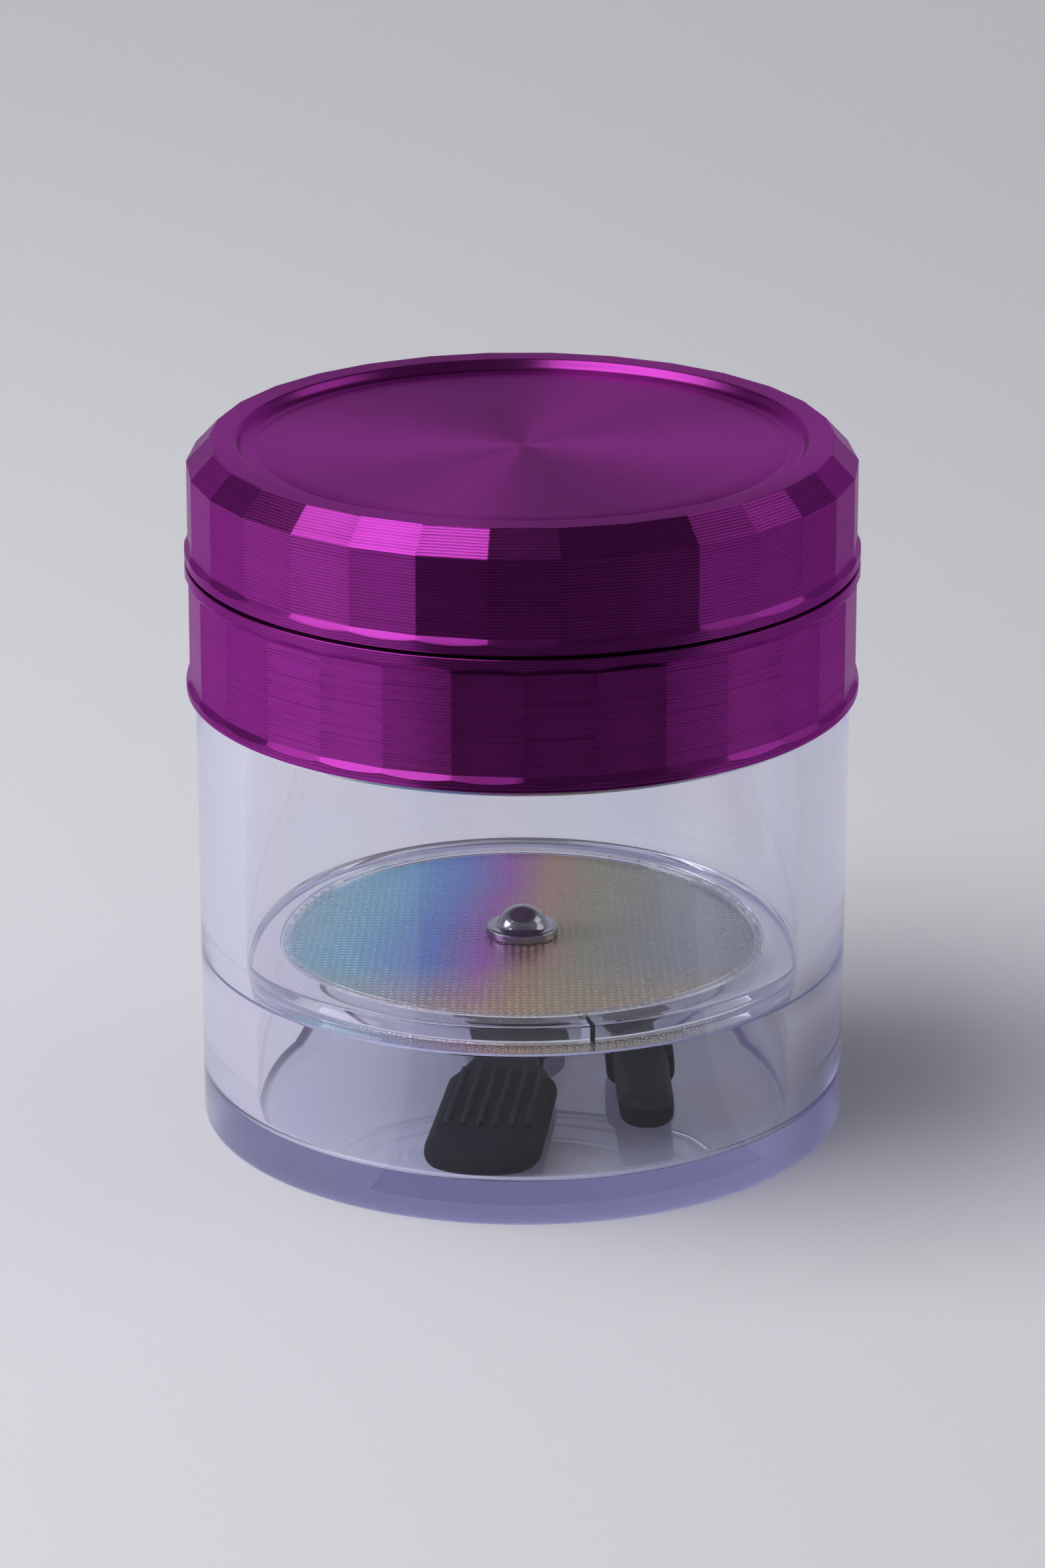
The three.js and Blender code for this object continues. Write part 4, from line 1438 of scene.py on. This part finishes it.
def woven_run(offset, sizes, reach, hole, parity, middle):
    """Stretches of one wire, as distances along it and heights, broken by the hole in the middle."""
    half = math.sqrt(max(reach * reach - offset * offset, 0))
    amplitude = 0.035 * MM
    count_each_way = int(half / sizes.wire_pitch)
    runs, run = [], []
    for k in range(-count_each_way, count_each_way + 1):
        along = k * sizes.wire_pitch
        if math.hypot(along, offset) < hole + sizes.wire_width:
            if len(run) > 1:
                runs.append(run)
            run = []
            continue
        up = amplitude if (k + parity) % 2 == 0 else -amplitude
        run.append((along, middle + up))
    if len(run) > 1:
        runs.append(run)
    return runs


class GRINDER_OT_screen_mesh(bpy.types.Operator):
    """Weave the steel mesh, wire by wire"""

    bl_idname = "grinder.screen_mesh"
    bl_label = "Woven mesh"

    def execute(self, context):
        sizes = context.scene.grinder_screen
        bottom, top = low("screen_mesh"), high("screen_mesh")
        middle, thickness = (bottom + top) / 2, (top - bottom) / 3
        reach = outer("screen_mesh") - 0.05 * MM
        wires = int(reach / sizes.wire_pitch)
        diagonal = math.sqrt(0.5)
        vertices, faces = [], []
        for direction, (dx, dy) in enumerate(((diagonal, diagonal), (diagonal, -diagonal))):
            across = (-dy, dx)
            for n in range(-wires, wires + 1):
                offset = n * sizes.wire_pitch
                for run in woven_run(offset, sizes, reach, sizes.shank_hole, n + direction, middle):
                    line = [
                        (dx * along + across[0] * offset, dy * along + across[1] * offset, z)
                        for along, z in run
                    ]
                    start = len(vertices)
                    made, sides = wire(line, sizes.wire_width, thickness, across)
                    vertices.extend(made)
                    faces.extend([start + i for i in face] for face in sides)
        mesh = crease(new_piece("woven_mesh", vertices, faces), 60)
        fit(mesh, shared(woven_steel), "screen", "steel_mesh", "screen_mesh")
        return {"FINISHED"}


class GRINDER_OT_screen_stud(bpy.types.Operator):
    """Make the stud in the middle of the screen, with its washer and nut"""

    bl_idname = "grinder.screen_stud"
    bl_label = "Stud, washer and nut"

    def execute(self, context):
        sizes = context.scene.grinder_screen
        finish = shared(bright_nickel, context.scene.grinder_finish)
        base = high("screen_mesh")
        flange_top = base + sizes.flange_height
        top = high("screen_stud")
        dome = []
        for step in range(1, 9):
            a = math.pi / 2 * step / 9
            rise = (top - flange_top) * math.sin(a)
            dome.append(corner(sizes.dome_radius * math.cos(a), flange_top + rise))
        stud = turned("domed_stud", [
            corner(0, low("screen_stud")),
            corner(sizes.shank_radius, low("screen_stud"), 0.2 * MM),
            corner(sizes.shank_radius, base, 0, 4),
            corner(outer("screen_stud"), base, 0.15 * MM),
            corner(outer("screen_stud"), flange_top, 0.25 * MM),
            corner(sizes.dome_radius + 0.25 * MM, flange_top, 0.2 * MM),
            *dome,
            corner(0, top),
        ], columns=72)
        fit(crease(stud), finish, "screen", "nickel", "screen_stud")
        washer = ring("plated_washer", sizes.shank_hole, outer("screen_washer"), low("screen_washer"),
                      high("screen_washer"), 0.12 * MM, 72)
        fit(washer, finish, "screen", "nickel", "screen_washer")
        fit(self.nut(sizes), finish, "screen", "nickel", "screen_nut")
        return {"FINISHED"}

    def nut(self, sizes):
        """A hexagon nut whose corners are turned off at both ends."""
        bottom, top = low("screen_nut"), high("screen_nut")
        apothem = sizes.nut_across / 2
        per_side = 8
        spread = np.linspace(-math.pi / 6, math.pi / 6, per_side, endpoint=False)
        rows = []
        for delta in spread:
            flat = apothem / math.cos(delta)
            rounded = (flat - apothem) * 0.6
            rows.append([
                (sizes.shank_hole, bottom + 0.1 * MM),
                (sizes.shank_hole + 0.1 * MM, bottom),
                (apothem * 0.97, bottom),
                (flat, bottom + 0.05 * MM + rounded),
                (flat, top - 0.05 * MM - rounded),
                (apothem * 0.97, top),
                (sizes.shank_hole + 0.1 * MM, top),
                (sizes.shank_hole, top - 0.1 * MM),
            ])
        section = np.tile(np.array(rows).transpose(1, 0, 2), (1, 6, 1))
        sides = np.arange(6) * math.pi / 3 + math.pi / 6
        azimuth = (sides[:, None] + spread[None, :]).reshape(1, -1)
        creases = np.zeros(section.shape[0], bool)
        nut = turned_grid("hexagon_nut", section[:, :, 0], section[:, :, 1], azimuth, True, creases)
        return crease(nut)


def scraper_outlines(sizes, total):
    """Outlines of the scraper's grip and of its blade, lying along +Y from the front end."""
    half = sizes.grip_width / 2
    neck = sizes.neck_width / 2
    grip = total - sizes.neck_length - sizes.blade_length
    waist = sizes.grip_width - sizes.neck_width
    round_end = half * 0.94
    grip_outline = rounded_outline([
        (-half, 0, round_end),
        (half, 0, round_end),
        (half, grip - waist, 1.5 * MM),
        (neck, grip, 0),
        (-neck, grip, 0),
        (-half, grip - waist, 1.5 * MM),
    ], 10)
    blade_half = sizes.blade_width / 2
    start = grip + sizes.neck_length
    blade_outline = rounded_outline([
        (-neck, grip - 0.5 * MM, 0),
        (neck, grip - 0.5 * MM, 0),
        (neck, start, 1 * MM),
        (blade_half, start + blade_half / 2, 1 * MM),
        (blade_half, total, blade_half * 0.96),
        (-blade_half, total, blade_half * 0.96),
        (-blade_half, start + blade_half / 2, 1 * MM),
        (-neck, start, 1 * MM),
    ], 10)
    return grip_outline, blade_outline, grip


def scraper_place(sizes):
    """The scraper's front end and its length, from the node's box."""
    low_corner, high_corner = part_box("scraper")
    turn = sizes.scraper_turn
    half = sizes.grip_width / 2
    tip_half = sizes.blade_width / 2
    front = low_corner.y + (half - half * 0.72) * math.sin(turn)
    reach = high_corner.y - front - tip_half
    total = reach / math.cos(turn) + tip_half
    return (-sizes.scraper_offset, front, low_corner.z), total


class GRINDER_OT_scraper(bpy.types.Operator):
    """Make the ribbed scraper"""

    bl_idname = "grinder.scraper"
    bl_label = "Scraper"

    def execute(self, context):
        sizes = context.scene.grinder_tools
        place, total = scraper_place(sizes)
        top = high("scraper") - low("scraper") - sizes.rib_height
        grip_outline, blade_outline, grip = scraper_outlines(sizes, total)
        body = stacked("moulded_scraper", grip_outline, [
            (0.0, 0.7 * MM), (0.15 * MM, 0.3 * MM), (0.45 * MM, 0.08 * MM), (0.8 * MM, 0.0),
            (0.86 * MM, 0.07 * MM), (0.92 * MM, 0.0), (top - 0.9 * MM, 0.06 * MM),
            (top - 0.45 * MM, 0.25 * MM), (top - 0.15 * MM, 0.6 * MM), (top, 1.1 * MM),
        ])
        thin = sizes.blade_thickness
        blade = stacked("blade", blade_outline, rounded_levels(0.0, thin, 0.4 * MM))
        combined(body, blade, "UNION")
        ribs = []
        for i in range(sizes.ribs):
            middle = (i - (sizes.ribs - 1) / 2) * sizes.rib_pitch
            w = sizes.rib_width / 2
            start, end = sizes.rib_start, grip - sizes.rib_end
            outline = rounded_outline([
                (middle - w, start, w * 0.9), (middle + w, start, w * 0.9),
                (middle + w, end, w * 0.9), (middle - w, end, w * 0.9),
            ], 3)
            ribs.append(stacked("rib", outline, [
                (top - 0.5 * MM, 0.0), (top, 0.0), (top + 0.6 * sizes.rib_height, 0.05 * MM),
                (top + 0.9 * sizes.rib_height, 0.14 * MM), (top + sizes.rib_height, 0.26 * MM),
            ]))
        combined(body, merged(ribs, "ribs"), "UNION")
        put(crease(body, 35), place, -sizes.scraper_turn)
        finish = shared(tool_plastic, context.scene.grinder_finish)
        fit(body, finish, "scraper", "tool_plastic", "scraper")
        return {"FINISHED"}


class GRINDER_OT_brush(bpy.types.Operator):
    """Make the brush: its handle, its sleeve and its bristles"""

    bl_idname = "grinder.brush"
    bl_label = "Brush"

    def execute(self, context):
        sizes, finishes = context.scene.grinder_tools, context.scene.grinder_finish
        plastic = shared(tool_plastic, finishes)
        low_corner, high_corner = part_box("brush_handle")
        middle = (low_corner.x + high_corner.x) / 2
        back = (high_corner.x - low_corner.x) / 2
        front = back - sizes.handle_taper / 2
        outline = rounded_outline([
            (middle - front, low_corner.y, front * 0.95),
            (middle + front, low_corner.y, front * 0.95),
            (middle + back, high_corner.y, 0.3 * MM),
            (middle - back, high_corner.y, 0.3 * MM),
        ], 10)
        levels = rounded_levels(low_corner.z, high_corner.z, 1.1 * MM, 6)
        handle = crease(stacked("brush_grip", outline, levels), 40)
        fit(handle, plastic, "brush", "tool_plastic", "brush_handle")
        fit(self.ferrule(sizes), plastic, "brush", "tool_plastic", "brush_ferrule")
        fibre = shared(brush_fibre, finishes)
        fit(self.bristles(sizes), fibre, "brush", "brush_fibre", "brush_bristles")
        return {"FINISHED"}

    def ferrule(self, sizes):
        """A rounded sleeve with two crimped grooves, open at both ends."""
        low_corner, high_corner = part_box("brush_ferrule")
        centre = (low_corner + high_corner) / 2
        w, h = (high_corner.x - low_corner.x) / 2, (high_corner.z - low_corner.z) / 2
        fillet = 1.3 * MM
        outside = rounded_outline([(-w, -h, fillet), (w, -h, fillet), (w, h, fillet), (-w, h, fillet)])
        wall = sizes.ferrule_wall
        span = high_corner.y - low_corner.y
        crimp, edge = 0.15 * MM, 0.12 * MM
        shares = [(0.0, edge), (0.03, 0.0), (0.22, 0.0), (0.28, crimp), (0.34, 0.0), (0.66, 0.0),
                  (0.72, crimp), (0.78, 0.0), (0.97, 0.0), (1.0, edge)]
        levels = [(low_corner.y + span * t, d) for t, d in shares]
        levels += [(high_corner.y, wall), (low_corner.y, wall)]
        total = len(outside)
        vertices, faces = [], []
        for y, distance in levels:
            vertices.extend((centre.x + x, y, centre.z + z) for x, z in inset(outside, distance))
        for level in range(len(levels)):
            following = (level + 1) % len(levels)
            for i in range(total):
                j = (i + 1) % total
                a, b = level * total, following * total
                faces.append([a + j, a + i, b + i, b + j])
        return crease(new_piece("brush_sleeve", vertices, faces), 40)

    def bristles(self, sizes):
        """Fine tapered fibres in layers, which splay a little towards their tips."""
        draw = random.Random(5)
        low_corner, high_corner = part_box("brush_bristles")
        radius, sides, steps = sizes.bristle_radius, 5, 5
        span = high_corner.y - low_corner.y
        inner_low = low_corner + Vector((radius, 0, radius))
        inner_high = high_corner - Vector((radius, 0, radius))
        vertices, faces = [], []
        for i in range(sizes.bristles_across):
            for k in range(sizes.bristles_deep):
                u = i / (sizes.bristles_across - 1)
                v = k / (sizes.bristles_deep - 1)
                reach = span * (1 - 0.06 * draw.random() - 0.05 * (2 * u - 1) ** 2)
                side, lift = draw.uniform(-1, 1) * 0.25 * MM, draw.uniform(-1, 1) * 0.15 * MM
                start = len(vertices)
                for step in range(steps + 1):
                    t = step / steps
                    tuck = 0.86 + 0.14 * t
                    x = inner_low.x + (inner_high.x - inner_low.x) * (0.5 + (u - 0.5) * tuck) + side * t * t
                    z = inner_low.z + (inner_high.z - inner_low.z) * (0.5 + (v - 0.5) * tuck) + lift * t * t
                    x = min(max(x, inner_low.x), inner_high.x)
                    z = min(max(z, inner_low.z), inner_high.z)
                    thin = radius * (1 - 0.45 * t * t)
                    for s in range(sides):
                        a = 2 * math.pi * s / sides
                        wire_x, wire_z = x + thin * math.cos(a), z + thin * math.sin(a)
                        vertices.append((wire_x, low_corner.y + reach * t, wire_z))
                for step in range(steps):
                    for s in range(sides):
                        a, b = start + step * sides + s, start + step * sides + (s + 1) % sides
                        faces.append([b, a, a + sides, b + sides])
                faces.append([start + s for s in range(sides)])
                faces.append([start + steps * sides + s for s in range(sides - 1, -1, -1)])
        return crease(new_piece("bristle_tuft", vertices, faces), 60)


# ---- Panel and registration ----

OPERATORS = (
    GRINDER_OT_stage,
    GRINDER_OT_jar,
    GRINDER_OT_seals,
    GRINDER_OT_chamber,
    GRINDER_OT_lid,
    GRINDER_OT_tooth_plates,
    GRINDER_OT_magnets,
    GRINDER_OT_screen_rings,
    GRINDER_OT_screen_mesh,
    GRINDER_OT_screen_stud,
    GRINDER_OT_scraper,
    GRINDER_OT_brush,
)


class GRINDER_PT_panel(bpy.types.Panel):
    """Lists the grinder's pieces"""

    bl_idname = "GRINDER_PT_panel"
    bl_label = "Twist grinder"
    bl_space_type = "VIEW_3D"
    bl_region_type = "UI"
    bl_category = "Grinder"

    def draw(self, context):
        for operator in OPERATORS:
            self.layout.operator(operator.bl_idname)


GROUPS = {
    "grinder_metal": MetalSizes,
    "grinder_teeth": ToothSizes,
    "grinder_jar": JarSizes,
    "grinder_screen": ScreenSizes,
    "grinder_tools": ToolSizes,
    "grinder_finish": FinishSettings,
    "grinder_stage": StageSettings,
}


def register():
    for name, group in GROUPS.items():
        bpy.utils.register_class(group)
        setattr(bpy.types.Scene, name, bpy.props.PointerProperty(type=group))
    for operator in OPERATORS:
        bpy.utils.register_class(operator)
    bpy.utils.register_class(GRINDER_PT_panel)


def unregister():
    bpy.utils.unregister_class(GRINDER_PT_panel)
    for operator in reversed(OPERATORS):
        bpy.utils.unregister_class(operator)
    for name, group in reversed(GROUPS.items()):
        delattr(bpy.types.Scene, name)
        bpy.utils.unregister_class(group)


def main():
    """Registers the add-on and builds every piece."""
    register()
    for operator in OPERATORS:
        group, name = operator.bl_idname.split(".")
        getattr(getattr(bpy.ops, group), name)()


if __name__ == "__main__":
    main()
